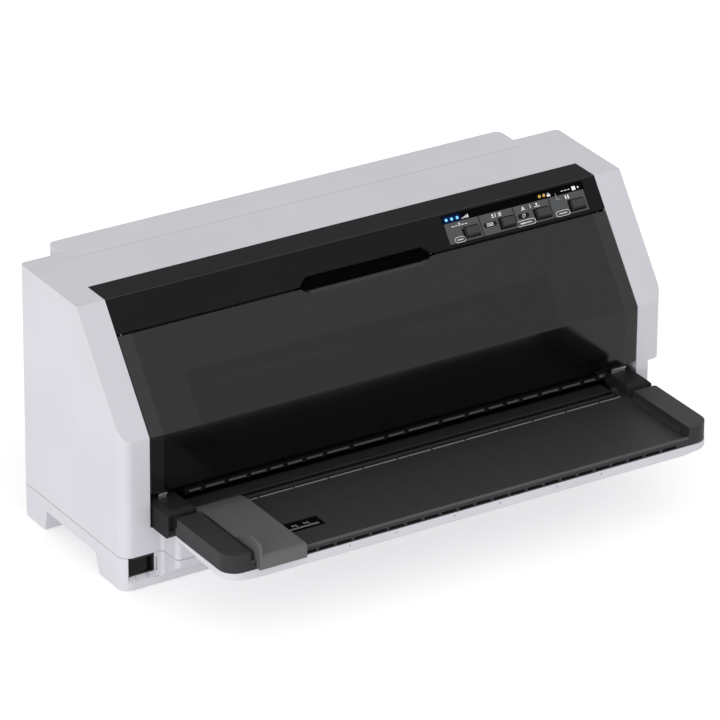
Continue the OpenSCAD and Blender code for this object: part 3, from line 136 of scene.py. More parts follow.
class Shader:
    """Adds the nodes of one material and links them."""

    def __init__(self, name):
        self.material = bpy.data.materials.new(name)
        self.material.use_nodes = True
        self.tree = self.material.node_tree
        self.tree.nodes.clear()
        self.place = self.add("ShaderNodeTexCoord").outputs["Object"]

    def feed(self, socket, value):
        """Links a socket to another, or sets its value."""
        if isinstance(value, bpy.types.NodeSocket):
            self.tree.links.new(value, socket)
        elif socket.type == "RGBA" and len(value) == 3:
            socket.default_value = (*value, 1.0)
        else:
            socket.default_value = value

    def add(self, kind, sockets=None, **settings):
        """A new node with its settings and its fed sockets."""
        node = self.tree.nodes.new(kind)
        for key, value in settings.items():
            setattr(node, key, value)
        for key, value in (sockets or {}).items():
            self.feed(node.inputs[key], value)
        return node

    def math(self, operation, a, b=0.0):
        """a and b joined by an operation."""
        return self.add("ShaderNodeMath", {0: a, 1: b}, operation=operation).outputs[0]

    def mix(self, share, a, b, blend="MIX"):
        """Colour a where share is 0 and colour b where it is 1."""
        node = self.add("ShaderNodeMix", data_type="RGBA", blend_type=blend)
        for index, value in ((0, share), (6, a), (7, b)):
            self.feed(node.inputs[index], value)
        return node.outputs[2]

    def span(self, value, low, high, out_low=0.0, out_high=1.0):
        """value between low and high, carried over to out_low and out_high."""
        sockets = {"Value": value, "From Min": low, "From Max": high, "To Min": out_low, "To Max": out_high}
        return self.add("ShaderNodeMapRange", sockets, clamp=True).outputs[0]

    def noise(self, size, detail=2.0, place=None):
        """Cloudy pattern whose patches are about size metres wide."""
        sockets = {"Vector": place or self.place, "Scale": 1.0 / size, "Detail": detail}
        return self.add("ShaderNodeTexNoise", sockets).outputs[0]

    def stretched(self, x, y, z):
        """Object coordinates, stretched by a factor along each axis."""
        return self.add("ShaderNodeMapping", {"Vector": self.place, "Scale": (x, y, z)}).outputs[0]

    def axes(self):
        """The x, y and z of the object coordinates."""
        return self.add("ShaderNodeSeparateXYZ", {0: self.place}).outputs

    def between(self, value, low, high):
        """1 where the value lies between low and high."""
        return self.math("MULTIPLY", self.math("GREATER_THAN", value, low), self.math("LESS_THAN", value, high))

    def slope(self):
        """Distance down the front slope from the ridge, and depth below it."""
        place = self.add("ShaderNodeVectorMath", {0: self.place, 1: RIDGE}, operation="SUBTRACT").outputs[0]
        return [self.add("ShaderNodeVectorMath", {0: place, 1: axis}, operation="DOT_PRODUCT").outputs["Value"]
                for axis in (DOWN_SLOPE, INTO_SLOPE)]

    def radius(self, centre):
        """Distance from the line along x through centre, a (y, z) in metres."""
        squares = [self.math("POWER", self.math("SUBTRACT", axis, at), 2.0)
                   for axis, at in zip(self.axes()[1:], centre)]
        return self.math("SQRT", self.math("ADD", *squares))

    def region(self, **bounds):
        """1 inside all the given bounds in millimetres: x, y and z, side for the distance from the middle plane, and
        down and into for the distances down the front slope and below it."""
        x, y, z = self.axes()
        down, into = self.slope()
        values = {"x": x, "y": y, "z": z, "side": self.math("ABSOLUTE", x), "down": down, "into": into}
        mask = 1.0
        for key, (low, high) in bounds.items():
            mask = self.math("MULTIPLY", mask, self.between(values[key], low * MM, high * MM))
        return mask

    def marked(self, tone, marks):
        """The tone with each (bounds, colour) of marks laid over it."""
        for bounds, tint in marks:
            tone = self.mix(self.region(**bounds), tone, tint)
        return tone

    def rounded(self, radius):
        """Normal that turns smoothly over the edges, and a mask that is 1 along them."""
        normal = self.add("ShaderNodeBevel", {"Radius": radius}, samples=6).outputs[0]
        flat = self.add("ShaderNodeNewGeometry").outputs["True Normal"]
        dot = self.add("ShaderNodeVectorMath", {0: normal, 1: flat}, operation="DOT_PRODUCT").outputs["Value"]
        return normal, self.span(dot, 0.985, 0.8)

    def bump(self, height, depth, normal=None):
        """Normal of a surface that rises by depth metres where height is 1."""
        sockets = {"Height": height, "Distance": depth, "Strength": 1.0}
        if normal is not None:
            sockets["Normal"] = normal
        return self.add("ShaderNodeBump", sockets).outputs[0]

    def finish(self, **sockets):
        """The surface shader. A name like base_color feeds the socket Base Color."""
        named = {key.replace("_", " ").title().replace("Ior", "IOR"): value for key, value in sockets.items()}
        shader = self.add("ShaderNodeBsdfPrincipled", named)
        self.add("ShaderNodeOutputMaterial", {"Surface": shader.outputs[0]})
        return self.material


def moulded(name, tint, roughness, grain, edge, depth=0.00002, edge_highlight=0.12, mottle=0.03, shine=0.4, marks=()):
    """Moulded plastic: cloudy tone, fine spark-eroded grain, edges a little smoother and painted a little lighter as a
    highlight, and tinted marks, which the callers use for painted highlights and painted shade.
    """
    s = Shader(name)
    normal, highlit_edge = s.rounded(edge)
    cloud = s.noise(0.06, 3.0)
    fleck = s.noise(grain * 0.5, 1.0)
    tone = s.mix(s.span(cloud, 0.3, 0.7), [c * (1 - mottle) for c in tint], [min(1, c * (1 + mottle)) for c in tint])
    tone = s.mix(s.math("MULTIPLY", fleck, 0.06), tone, [c * 0.8 for c in tint])
    # Painted highlight: the tone is lightened along the edges.
    tone = s.mix(s.math("MULTIPLY", highlit_edge, edge_highlight), tone, [min(1.0, c * 1.25 + 0.03) for c in tint])
    tone = s.marked(tone, marks)
    handled = s.noise(0.035, 4.0, s.stretched(1, 1, 1.7))
    rough = s.span(handled, 0.25, 0.75, roughness - 0.04, roughness + 0.05)
    rough = s.math("SUBTRACT", rough, s.math("MULTIPLY", highlit_edge, 0.06))
    return s.finish(base_color=tone, roughness=rough, specular_ior_level=shine,
                    normal=s.bump(s.noise(grain, 2.0), depth, normal))


def glossy(name, tint, roughness, edge, alpha=1.0, haze=0.01, shine=0.5, marks=()):
    """Polished plastic with faint wiping marks, tinted marks, and a painted highlight along its edges."""
    s = Shader(name)
    normal, highlit_edge = s.rounded(edge)
    wipe = s.noise(0.03, 5.0, s.stretched(0.25, 1.0, 1.0))
    tone = s.marked(s.mix(s.span(wipe, 0.35, 0.75), tint, [c + haze * 0.12 for c in tint]), marks)
    # Painted highlight: the tone is lightened along the edges.
    tone = s.mix(s.math("MULTIPLY", highlit_edge, 0.25), tone, [c * 1.5 + 0.01 for c in tint])
    rough = s.span(wipe, 0.3, 0.8, roughness, roughness + 0.05)
    return s.finish(base_color=tone, roughness=rough, normal=normal, alpha=alpha, specular_ior_level=shine)


def keycap(name, tint, face_left, face_low, grain, edge):
    """A key whose printed face is grey, with painted shade: its left and lower flanks and its walls are black. Its
    edges carry a painted highlight.
    """
    s = Shader(name)
    normal, highlit_edge = s.rounded(edge)
    flat = s.add("ShaderNodeNewGeometry").outputs["True Normal"]
    facing = s.add("ShaderNodeVectorMath", {0: flat, 1: INTO_SLOPE}, operation="DOT_PRODUCT").outputs["Value"]
    face = s.region(x=(face_left, face_left + 30), down=(0, face_low))
    face = s.math("MULTIPLY", face, s.math("LESS_THAN", facing, -0.9))
    tone = s.mix(s.span(s.noise(0.006), 0.3, 0.7), tint, [c * 1.12 for c in tint])
    # Painted highlight: the tone is lightened along the edges.
    tone = s.mix(s.math("MULTIPLY", highlit_edge, 0.3), tone, [c * 1.4 for c in tint])
    # Painted shade: the key is near black outside its grey face, on the left and lower flanks and on the walls.
    tone = s.mix(face, (0.004, 0.004, 0.004), tone)
    return s.finish(base_color=tone, roughness=s.span(s.noise(0.004), 0.3, 0.7, 0.4, 0.5), specular_ior_level=0.25,
                    normal=s.bump(s.noise(grain), 0.00001, normal))


def plated(name, tint, roughness, edge, streak=(1.0, 1.0, 1.0), metallic=1.0):
    """Plated or ground metal: a rolled streak, cloudy spangle and a painted highlight that brightens the edges."""
    s = Shader(name)
    normal, highlit_edge = s.rounded(edge)
    rolled = s.noise(0.002, 3.0, s.stretched(*streak))
    spangle = s.add("ShaderNodeTexVoronoi", {"Vector": s.place, "Scale": 90.0}).outputs["Color"]
    spangle = s.add("ShaderNodeSeparateColor", {0: spangle}).outputs[0]
    tone = s.mix(s.span(spangle, 0.0, 1.0, 0.0, 0.35), tint, [c * 0.82 for c in tint])
    # Painted highlight: the tone is brightened along the edges.
    tone = s.mix(s.math("MULTIPLY", highlit_edge, 0.4), tone, [min(1.0, c * 1.3) for c in tint])
    rough = s.span(rolled, 0.3, 0.7, roughness - 0.06, roughness + 0.08)
    return s.finish(base_color=tone, metallic=metallic, roughness=rough, normal=s.bump(rolled, 0.000006, normal))


def rubbery(name, tint, edge):
    """Ground rubber: dull, with a fine grain, dusty patches and a painted highlight that lightens its edges."""
    s = Shader(name)
    normal, highlit_edge = s.rounded(edge)
    dust = s.noise(0.012, 4.0)
    tone = s.mix(s.span(dust, 0.45, 0.8, 0.0, 0.5), tint, [c + 0.02 for c in tint])
    # Painted highlight: the tone is lightened along the edges.
    tone = s.mix(s.math("MULTIPLY", highlit_edge, 0.4), tone, [c + 0.04 for c in tint])
    grain = s.noise(0.0004, 2.0)
    return s.finish(base_color=tone, roughness=s.span(dust, 0.3, 0.7, 0.62, 0.8), normal=s.bump(grain, 0.00003, normal))


def banded(name, centre, shaft_r, gear_x, colours):
    """A roller of one node: steel near its axis, rubber outside it, and nylon beyond gear_x."""
    steel, rubber, nylon = colours
    s = Shader(name)
    is_rubber = s.math("GREATER_THAN", s.radius(centre), shaft_r)
    is_gear = s.math("MULTIPLY", s.math("LESS_THAN", s.axes()[0], gear_x), is_rubber)
    tone = s.mix(is_rubber, steel, rubber)
    tone = s.mix(is_gear, tone, nylon)
    dust = s.noise(0.01, 3.0)
    tone = s.mix(s.span(dust, 0.5, 0.8, 0.0, 0.2), tone, [c * 0.7 + 0.01 for c in rubber])
    metal = s.math("SUBTRACT", 1.0, is_rubber)
    rough = s.math("ADD", s.span(dust, 0.3, 0.7, 0.28, 0.34), s.math("MULTIPLY", is_rubber, 0.34))
    return s.finish(base_color=tone, metallic=metal, roughness=rough, normal=s.bump(s.noise(0.0005), 0.00002))


def lamps(name, split_x):
    """Glowing lamp lenses: blue left of split_x and amber right of it."""
    s = Shader(name)
    amber = s.math("GREATER_THAN", s.axes()[0], split_x)
    tone = s.mix(amber, (0.12, 0.36, 0.62), (0.30, 0.20, 0.03))
    glow = s.mix(amber, (0.12, 0.42, 0.70), (0.30, 0.19, 0.02))
    rough = s.span(s.noise(0.0006), 0.2, 0.8, 0.15, 0.3)
    return s.finish(base_color=tone, emission_color=glow, emission_strength=1.0, roughness=rough)


def lit_window(name, centres):
    """Black window plastic with a blue bloom round each lit lamp."""
    s = Shader(name)
    bloom = 0.0
    for centre in centres:
        gap = s.add("ShaderNodeVectorMath", {0: s.place, 1: tuple(centre)}, operation="DISTANCE").outputs["Value"]
        bloom = s.math("ADD", bloom, s.span(gap, 0.0042, 0.0008))
    wipe = s.noise(0.01, 3.0)
    return s.finish(base_color=(0.001, 0.001, 0.0015), emission_color=(0.0, 0.03, 0.16),
                    emission_strength=s.math("MULTIPLY", bloom, 0.9), specular_ior_level=0.02,
                    roughness=s.span(wipe, 0.3, 0.7, 0.2, 0.3))


def roller_frame(name, tint, centre, roller_tint, grain, edge):
    """Moulded bar with a row of guide rollers round the line through centre, a (y, z) in millimetres. The skin of the
    rollers has a lighter band."""
    s = Shader(name)
    normal, highlit_edge = s.rounded(edge)
    skin = s.between(s.radius([at * MM for at in centre]), 1.75 * MM, 2.05 * MM)
    skin = s.math("MULTIPLY", skin, s.region(z=(centre[1] - 0.7, centre[1] + 1.1)))
    tone = s.mix(s.span(s.noise(0.02), 0.3, 0.7), tint, [c * 1.3 for c in tint])
    # Painted highlight: the tone is lightened a little along the edges.
    tone = s.mix(s.math("MULTIPLY", highlit_edge, 0.2), tone, [c + 0.01 for c in tint])
    tone = s.mix(skin, tone, roller_tint)
    return s.finish(base_color=tone, roughness=s.span(s.noise(0.01), 0.3, 0.7, 0.42, 0.55),
                    specular_ior_level=0.12, normal=s.bump(s.noise(grain), 0.00002, normal))


def board(name, tint):
    """Circuit board: lacquer over straight copper tracks, with soldered dots."""
    s = Shader(name)
    tracks = s.add("ShaderNodeTexBrick", {
        "Vector": s.place, "Scale": 1.0, "Mortar Size": 0.0004, "Brick Width": 0.017, "Row Height": 0.0023})
    pads = s.add("ShaderNodeTexVoronoi", {"Vector": s.place, "Scale": 260.0}).outputs["Distance"]
    pad = s.span(pads, 0.22, 0.16)
    tone = s.mix(tracks.outputs["Fac"], tint, [c * 1.6 + 0.01 for c in tint])
    tone = s.mix(s.math("MULTIPLY", pad, 0.7), tone, (0.5, 0.5, 0.48))
    height = s.math("ADD", tracks.outputs["Fac"], pad)
    return s.finish(base_color=tone, roughness=s.span(pads, 0.0, 0.4, 0.25, 0.4), normal=s.bump(height, 0.00004))


def woven(name, tint):
    """Inked ribbon: a fine plain weave, wet-looking in patches."""
    s = Shader(name)
    warp, weft = [s.math("SINE", s.math("MULTIPLY", axis, 9000.0)) for axis in s.axes()[:2]]
    weave = s.math("MULTIPLY", warp, weft)
    ink = s.noise(0.02, 3.0)
    tone = s.mix(s.span(ink, 0.4, 0.7), tint, [c * 2.2 for c in tint])
    return s.finish(base_color=tone, roughness=s.span(ink, 0.3, 0.7, 0.45, 0.75), normal=s.bump(weave, 0.00002))


def dress(material, *names):
    """Gives each named CAD node the material."""
    for name in names:
        slots = NODES[name].data.materials
        slots.clear()
        slots.append(material)


# ---------- mesh building ----------


def add_piece(name, vertices, faces, material, body):
    """A new mesh piece, with its place in its mesh, that rides on a body."""
    mesh = bpy.data.meshes.new(name)
    mesh.from_pydata(np.asarray(vertices, float).tolist(), [], [list(map(int, f)) for f in faces])
    mesh.validate()
    mesh.update()
    mesh.materials.append(material)
    piece = bpy.data.objects.new(name, mesh)
    bpy.context.scene.collection.objects.link(piece)
    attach(piece, body)
    return piece


def prism(outline, low, high):
    """A flat outline of points (u, v), counter-clockwise, drawn out from height low to height high."""
    outline = np.asarray(outline, float)
    count = len(outline)
    points = np.vstack([np.c_[outline, np.full(count, low)], np.c_[outline, np.full(count, high)]])
    i = np.arange(count)
    j = (i + 1) % count
    sides = np.c_[i, j, j + count, i + count].tolist()
    return points, [list(range(count))[::-1], list(range(count, 2 * count)), *sides]


def ring(outer, inner, low, high):
    """A closed frame between two outlines with the same number of points, from height low to height high."""
    outer, inner = np.asarray(outer, float), np.asarray(inner, float)
    count = len(outer)
    loops = [(outer, low), (outer, high), (inner, high), (inner, low)]
    points = np.vstack([np.c_[loop, np.full(count, h)] for loop, h in loops])
    i = np.arange(count)
    j = (i + 1) % count
    faces = []
    for k in range(4):
        a, b = k * count, (k + 1) % 4 * count
        faces += np.c_[i + a, j + a, j + b, i + b].tolist()
    return points, faces


def stadium(u, v, width, height, steps=8):
    """Outline of a bar with round ends, centred at u, v: two half circles joined by straight sides."""
    radius = min(width, height) / 2
    angle = np.concatenate([np.linspace(-0.5, 0.5, steps), np.linspace(0.5, 1.5, steps)]) * math.pi
    shift = np.repeat([1, -1], steps) * (width / 2 - radius)
    return np.c_[u + shift + radius * np.cos(angle), v + radius * np.sin(angle)]


def bar(u, v, width, height):
    """Outline of a rectangle centred at u, v."""
    return np.array([u, v]) + np.array([[-1, -1], [1, -1], [1, 1], [-1, 1]]) * [width / 2, height / 2]


def arrow(u, v, size, turn):
    """Outline of a triangle centred at u, v, whose point is turned by turn degrees from the u direction."""
    angle = np.radians(turn + np.array([0, 120, 240]))
    return np.c_[u + size * np.cos(angle), v + size * np.sin(angle)]


def circle(u, v, radius, steps=20):
    """Outline of a circle."""
    angle = np.arange(steps) * 2 * math.pi / steps
    return np.c_[u + radius * np.cos(angle), v + radius * np.sin(angle)]


def joined(parts):
    """Several (points, faces) pairs as one."""
    points, faces, start = [], [], 0
    for p, f in parts:
        points.append(p)
        faces += [[start + i for i in face] for face in f]
        start += len(p)
    return np.vstack(points), faces


def laid_on(points, origin, along, up):
    """Points (u, v, height) laid on a plane through origin: u runs along, v up, and height out of it."""
    along, up = np.asarray(along, float), np.asarray(up, float)
    out = np.cross(along, up)
    return np.asarray(origin) + points[:, :1] * along + points[:, 1:2] * up + points[:, 2:] * out


# ---------- pieces ----------


class Plate:
    """The printed face of the control panel: marks go to (u, s) in millimetres, u from its left edge to
    the right and s down its slope from the fold above it."""

    def __init__(self, trim):
        low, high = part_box("panel_plate")
        points = mesh_points(NODES["panel_plate"])
        upper = points[points[:, 2] > high.z - 0.02 * MM].mean(0)
        lower = points[points[:, 1] < low.y + 0.02 * MM].mean(0)
        climb = (upper - lower) * [0, 1, 1]
        self.tall = float(np.linalg.norm(climb))
        self.up = climb / self.tall
        self.origin = np.array([low.x, lower[1], lower[2]])
        self.wide = (high.x - low.x) / MM
        self.low_s = WINDOW_TOP_S + self.tall / MM
        self.ink = trim.ink_height
        self.line = trim.line / MM
        self.parts = []

    def shape(self, outline, layer=1):
        """Adds a filled outline."""
        outline = np.asarray(outline, float)
        flat = np.c_[outline[:, 0] * MM, (self.low_s - outline[:, 1]) * MM][::-1]
        self.parts.append(prism(flat, 0, self.ink * layer))

    def box(self, u0, u1, s0, s1, layer=1):
        """Adds a filled rectangle."""
        self.shape([(u0, s0), (u1, s0), (u1, s1), (u0, s1)], layer)

    def loop(self, u, s, width, height, layer=1):
        """Adds the printed line of a bar with round ends, centred at u, s."""
        outer, inner = (stadium(u, s, width - d, height - d) for d in (0, 1.8 * self.line))
        frames = [np.c_[o[:, 0] * MM, (self.low_s - o[:, 1]) * MM][::-1] for o in (outer, inner)]
        self.parts.append(ring(*frames, 0, self.ink * layer))

    def done(self, name, material):
        """Makes the piece of all the marks since the last call."""
        points, faces = joined(self.parts)
        placed = laid_on(points, self.origin, (1, 0, 0), self.up)
        add_piece(name, placed, faces, material, "chassis")
        self.parts = []


def make_panel_window(plate):
    """The panel's black window, open round its lamps."""
    lens = [(centre[0] - plate.origin[0]) / MM for centre in lens_centres()]
    lens_half = 1.3
    edges = [0.0, *[u + d for u in lens for d in (-lens_half, lens_half)], plate.wide]
    for a, b in zip(edges[::2], edges[1::2]):
        plate.box(a, b, WINDOW_TOP_S, WINDOW_LOW_S)
    for u in lens:
        plate.box(u - lens_half, u + lens_half, WINDOW_TOP_S, LAMP_S - lens_half)
        plate.box(u - lens_half, u + lens_half, LAMP_S + lens_half, WINDOW_LOW_S)
    plate.done("panel_window", lit_window("window_plastic", lens_centres()[:LIT_LAMPS]))


def make_panel_lines(plate, finish):
    """Printed dark dividers between the panel's fields and two dark bars with round ends, and painted shadow: dark
    lines along the plate's edges and round its buttons.
    """
    buttons = [(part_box(f"button_{i}")[0].x - plate.origin[0]) / MM for i in (1, 2, 3, 4)]
    button_wide, s_top, s_low = 13.0, 14.7, 22.3
    for u in DIVIDERS:
        plate.box(u - 0.35, u + 0.35, WINDOW_LOW_S, plate.low_s)
    # Painted shadow along the plate's left, right and lower edges.
    left_rim, right_rim, low_rim = 0.9, plate.wide - 1.1, plate.low_s - 0.55
    plate.box(0, left_rim, WINDOW_LOW_S, plate.low_s)
    plate.box(right_rim, plate.wide, WINDOW_LOW_S, plate.low_s)
    plate.box(left_rim, right_rim, low_rim, plate.low_s)
    # Painted shadow round each button: dark frames, wider on the left and below.
    gap, thick_left, thick_right, thick_low, overlap = 0.4, 0.9, 0.5, 0.7, 0.2
    for u in buttons:
        end = u + button_wide
        plate.box(u - gap - thick_left, u - gap, s_top - gap - overlap, s_low + gap + thick_low)
        plate.box(u - gap, end + gap + thick_right, s_low + gap, s_low + gap + thick_low)
        plate.box(end + gap, end + gap + thick_right, s_top - gap - overlap, s_low + gap)
        plate.box(u - gap, end + gap, s_top - gap - thick_right, s_top - gap)
    for u0, u1 in ((33.9, 45.6), (65.0, 75.4)):
        plate.shape(stadium((u0 + u1) / 2, 17.0, u1 - u0, 3.9))
    lines = moulded("line_ink_and_shadow", (0.003, 0.003, 0.003), 0.6, finish.grain, finish.edge * 0.2, shine=0.15)
    plate.done("panel_lines", lines)


def make_panel_signs(plate, finish):
    """Plain signs in white ink, and a grey hook line beside the last divider."""
    ink = moulded("sign_ink", finish.ink, 0.5, finish.grain * 0.3, finish.edge * 0.1)
    thin = plate.line * 1.5
    # tear along a dashed line
    for k in range(5):
        plate.box(6.6 + 3.0 * k, 8.8 + 3.0 * k, 11.3, 11.3 + thin)
    plate.shape(arrow(13.9, 10.3, 1.0, -90))
    # feed a line, feed a sheet
    for u in (43.0, 49.0):
        plate.shape(arrow(u + 0.9, 10.6, 1.2, 90))
    plate.box(42.6, 45.2, 12.0, 12.0 + thin)
    plate.box(46.2, 46.2 + thin, 9.4, 12.4)
    plate.box(51.0, 51.0 + thin, 9.4, 12.4)
    plate.box(48.6, 51.0, 12.0, 12.0 + thin)
    # load and eject
    plate.shape(arrow(71.5, 10.9, 1.3, -90))
    plate.box(69.6, 73.4, 12.1, 12.1 + thin)
    plate.box(78.0, 78.0 + thin, 9.6, 12.6)
    plate.shape(arrow(84.0, 10.6, 1.3, 90))
    plate.box(81.6, 86.6, 12.1, 12.1 + thin)
    # hold
    for u in (110.4, 112.6):
        plate.box(u, u + 1.0, 9.6, 12.6)
    # menu lines, start again, and the ringed second uses
    for k in range(3):
        plate.box(36.6, 42.6, 15.8 + k * 1.0, 15.8 + k * 1.0 + thin * 0.8, 2)
    plate.loop(70.2, 17.0, 2.6, 2.6, 2)
    plate.shape(arrow(71.7, 16.2, 0.6, 0), 2)
    for u, width in ((10.7, 9.6), (70.6, 17.4), (104.4, 12.6)):
        plate.loop(u, 22.5, width, 4.5)
        plate.box(u - width * 0.28, u + width * 0.28, 22.3, 22.3 + thin)
    for k in range(3):
        plate.box(65.6 + k * 1.6, 66.1 + k * 1.6, 21.8, 23.4)
    # window: step sizes, a closed lock and a missing sheet
    for k in range(5):
        plate.box(17.2 + k * 1.4, 18.0 + k * 1.4, 6.8 - 0.5 * k, 7.3, 2)
    plate.box(95.4, 98.2, 5.6, 7.3, 2)
    plate.loop(96.8, 5.4, 1.8, 2.0, 2)
    for u in (108.4, 111.4, 114.4):
        plate.box(u, u + 2.0, 5.6, 5.6 + thin, 2)
    plate.shape([(118.4, 4.3), (121.6, 4.3), (121.6, 7.3), (118.4, 7.3)], 2)
    plate.shape(arrow(124.0, 5.8, 1.1, 0), 2)
    plate.done("panel_signs", ink)

    plate.box(102.6, 102.6 + thin, 6.4, 11.0, 2)
    plate.box(102.6, 106.0, 11.0, 11.0 + thin, 2)
    plate.done("panel_hook", moulded("hook_ink", (0.30, 0.30, 0.30), 0.5, finish.grain * 0.3, finish.edge * 0.1))


def mesh_points(thing):
    """The points of an object's mesh."""
    points = np.zeros(len(thing.data.vertices) * 3)
    thing.data.vertices.foreach_get("co", points)
    return points.reshape(-1, 3)


def lens_centres():
    """Middle of each lamp lens, from the points of the lamps' node."""
    co = mesh_points(NODES["status_lamps"])
    order = np.argsort(co[:, 0])
    xs = co[order, 0]
    groups = np.split(order, np.where(np.diff(xs) > 1.2 * MM)[0] + 1)
    return [co[g].mean(0) for g in groups]


def make_table_scale(finish, trim):
    """The scale in the table's window: a dark strip with a line of fine ticks, two long ticks and plain numbers."""
    low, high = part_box("paper_table")
    middle = (low.x + high.x) / 2
    left, right = middle - 145.9 * MM, middle - 115.1 * MM
    front, back = low.y + 23.1 * MM, low.y + 38.4 * MM
    floor = high.z - 8.3 * MM
    ink_height = trim.ink_height
    strip = moulded("strip_ink", (0.0012, 0.0012, 0.0012), 0.6, finish.grain, finish.edge * 0.2, edge_highlight=0.0, shine=0.02)
    points, faces = prism(bar((left + right) / 2, (front + back) / 2, right - left, back - front), 0, ink_height)
    add_piece("scale_strip", points + [0, 0, floor], faces, strip, "paper_table")
    ticks, long_ticks, step = 20, (6, 14), trim.tick_step / 2
    first, base = left + 2.9 * MM, front + 4.3 * MM
    digit_y, digit_tall, stroke = base + 5.4 * MM, 2.4 * MM, 0.6 * MM
    marks = []
    for k in range(ticks):
        tall = 6.6 * MM if k in long_ticks else 2.2 * MM
        x = first + k * step
        marks.append(prism(bar(x, base + tall / 2, trim.line * 1.5, tall), 0, ink_height))
        if k in long_ticks:
            marks.append(prism(bar(x - 3.3 * MM, digit_y, stroke, digit_tall), 0, ink_height))
            zero = [stadium(x - 1.6 * MM, digit_y, 1.7 * MM - d, digit_tall - d) for d in (0, 1.5 * stroke)]
            marks.append(ring(*zero, 0, ink_height))
    marks.append(prism(bar(first + (ticks - 1) / 2 * step, base + stroke / 2, ticks * step, stroke), 0, ink_height))
    dim = [c * 0.35 for c in finish.ink]
    ink = moulded("scale_ink", dim, 0.5, finish.grain * 0.3, finish.edge * 0.1, shine=0.2)
    points, faces = joined(marks)
    add_piece("scale_marks", points + [0, 0, floor + ink_height], faces, ink, "paper_table")


def on_front_slope(points):
    """Points (x, s, depth) carried to the printer: s runs down the front slope and depth goes into it."""
    return np.asarray(RIDGE) + points @ np.array([(1, 0, 0), DOWN_SLOPE, INTO_SLOPE])


def make_recess_shade_sheet(finish):
    """The dull black tray behind the cover's finger recess, painted shade for the depth of the recess: a flat floor
    with a thin wall round its outline. Also dull black strips of painted shade in the seam between the band and the
    cover, beside the recess and at both pillars, which close its gaps."""
    rise, below, half, chamfer = 7.7, 4.0, 60.0, 8.6
    outline = np.array([(-half, SEAM_S + below), (-half, SEAM_S), (-half + chamfer, SEAM_S - rise),
                        (half - chamfer, SEAM_S - rise), (half, SEAM_S), (half, SEAM_S + below)]) * MM
    inner = (outline - outline.mean(0)) * [0.996, 0.965] + outline.mean(0)
    floor_depth, wall_top = 6.35 * MM, 3.35 * MM
    tray = [prism(outline, floor_depth, floor_depth + 0.1 * MM), ring(outline, inner, wall_top, floor_depth)]
    points, faces = joined(tray)
    # Near-black matt material: painted shade for the recess and the seam gaps.
    black = moulded("recess_shade_black", (0.0015, 0.0015, 0.0015), 0.9, finish.grain, finish.edge * 0.2, edge_highlight=0.0, shine=0.02)
    add_piece("recess_shade_sheet", on_front_slope(points), faces, black, "front_cover")
    low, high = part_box("front_cover")
    pillar, near, far = 8.5 * MM, (half + 0.05) * MM, (half + 2.3) * MM
    strips = []
    for x0, x1 in ((low.x, low.x + pillar), (-far, -near), (near, far), (high.x - pillar, high.x)):
        outline = bar((x0 + x1) / 2, (SEAM_S + 0.2) * MM, x1 - x0, 4.0 * MM)
        strips.append(prism(outline, 3.3 * MM, 4.2 * MM))
    points, faces = joined(strips)
    add_piece("seam_shade_strips", on_front_slope(points), faces, black, "chassis")


def make_hinge_tabs(finish):
    """Two bright bent tabs under the corners of the cover: a flat lip on a short leg that stands on the block."""
    low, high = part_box("hinge_blocks")
    metal = plated("tab_steel", (0.75, 0.75, 0.76), 0.35, finish.edge * 0.5)
    top, thick = 4.1, 1.2
    profile = np.array([[-0.6, top - thick], [0.8, top - thick], [0.8, 0], [1.7, 0], [1.7, top], [-0.6, top]]) * MM
    for name, x0, x1 in (("tab_left", low.x + 6.4 * MM, low.x + 12.8 * MM),
                         ("tab_right", high.x - 20.6 * MM, high.x - 8.6 * MM)):
        points, faces = prism(profile, x0, x1)
        placed = np.c_[points[:, 2], PILLAR_Y + points[:, 0], high.z + points[:, 1]]
        add_piece(name, placed, faces, metal, "chassis")


def make_ledge_marks(finish, trim):
    """The signs of the power switch, moulded on the ledge below it: a bar on the left and a ring on the right."""
    low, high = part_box("power_switch_housing")
    ledge_low = low.z - 5.0 * MM
    foot = np.array([(low.x + high.x) / 2, PILLAR_Y, ledge_low])
    back, rise = 3.4, 5.0
    up = np.array([0.0, back, rise]) / math.hypot(back, rise)
    depth = trim.ink_height
    bar_x, ring_x, climb = -4.4 * MM, 5.7 * MM, 3.0 * MM
    parts = [prism(bar(bar_x, climb, 0.5 * MM, 2.6 * MM), 0, depth),
             ring(circle(ring_x, climb, 1.4 * MM), circle(ring_x, climb, 1.0 * MM), 0, depth)]
    points, faces = joined(parts)
    ink = moulded("ledge_ink", [c * 0.4 for c in finish.case], 0.5, finish.grain, finish.edge * 0.2)
    add_piece("ledge_marks", laid_on(points, foot, (1, 0, 0), up), faces, ink, "chassis")


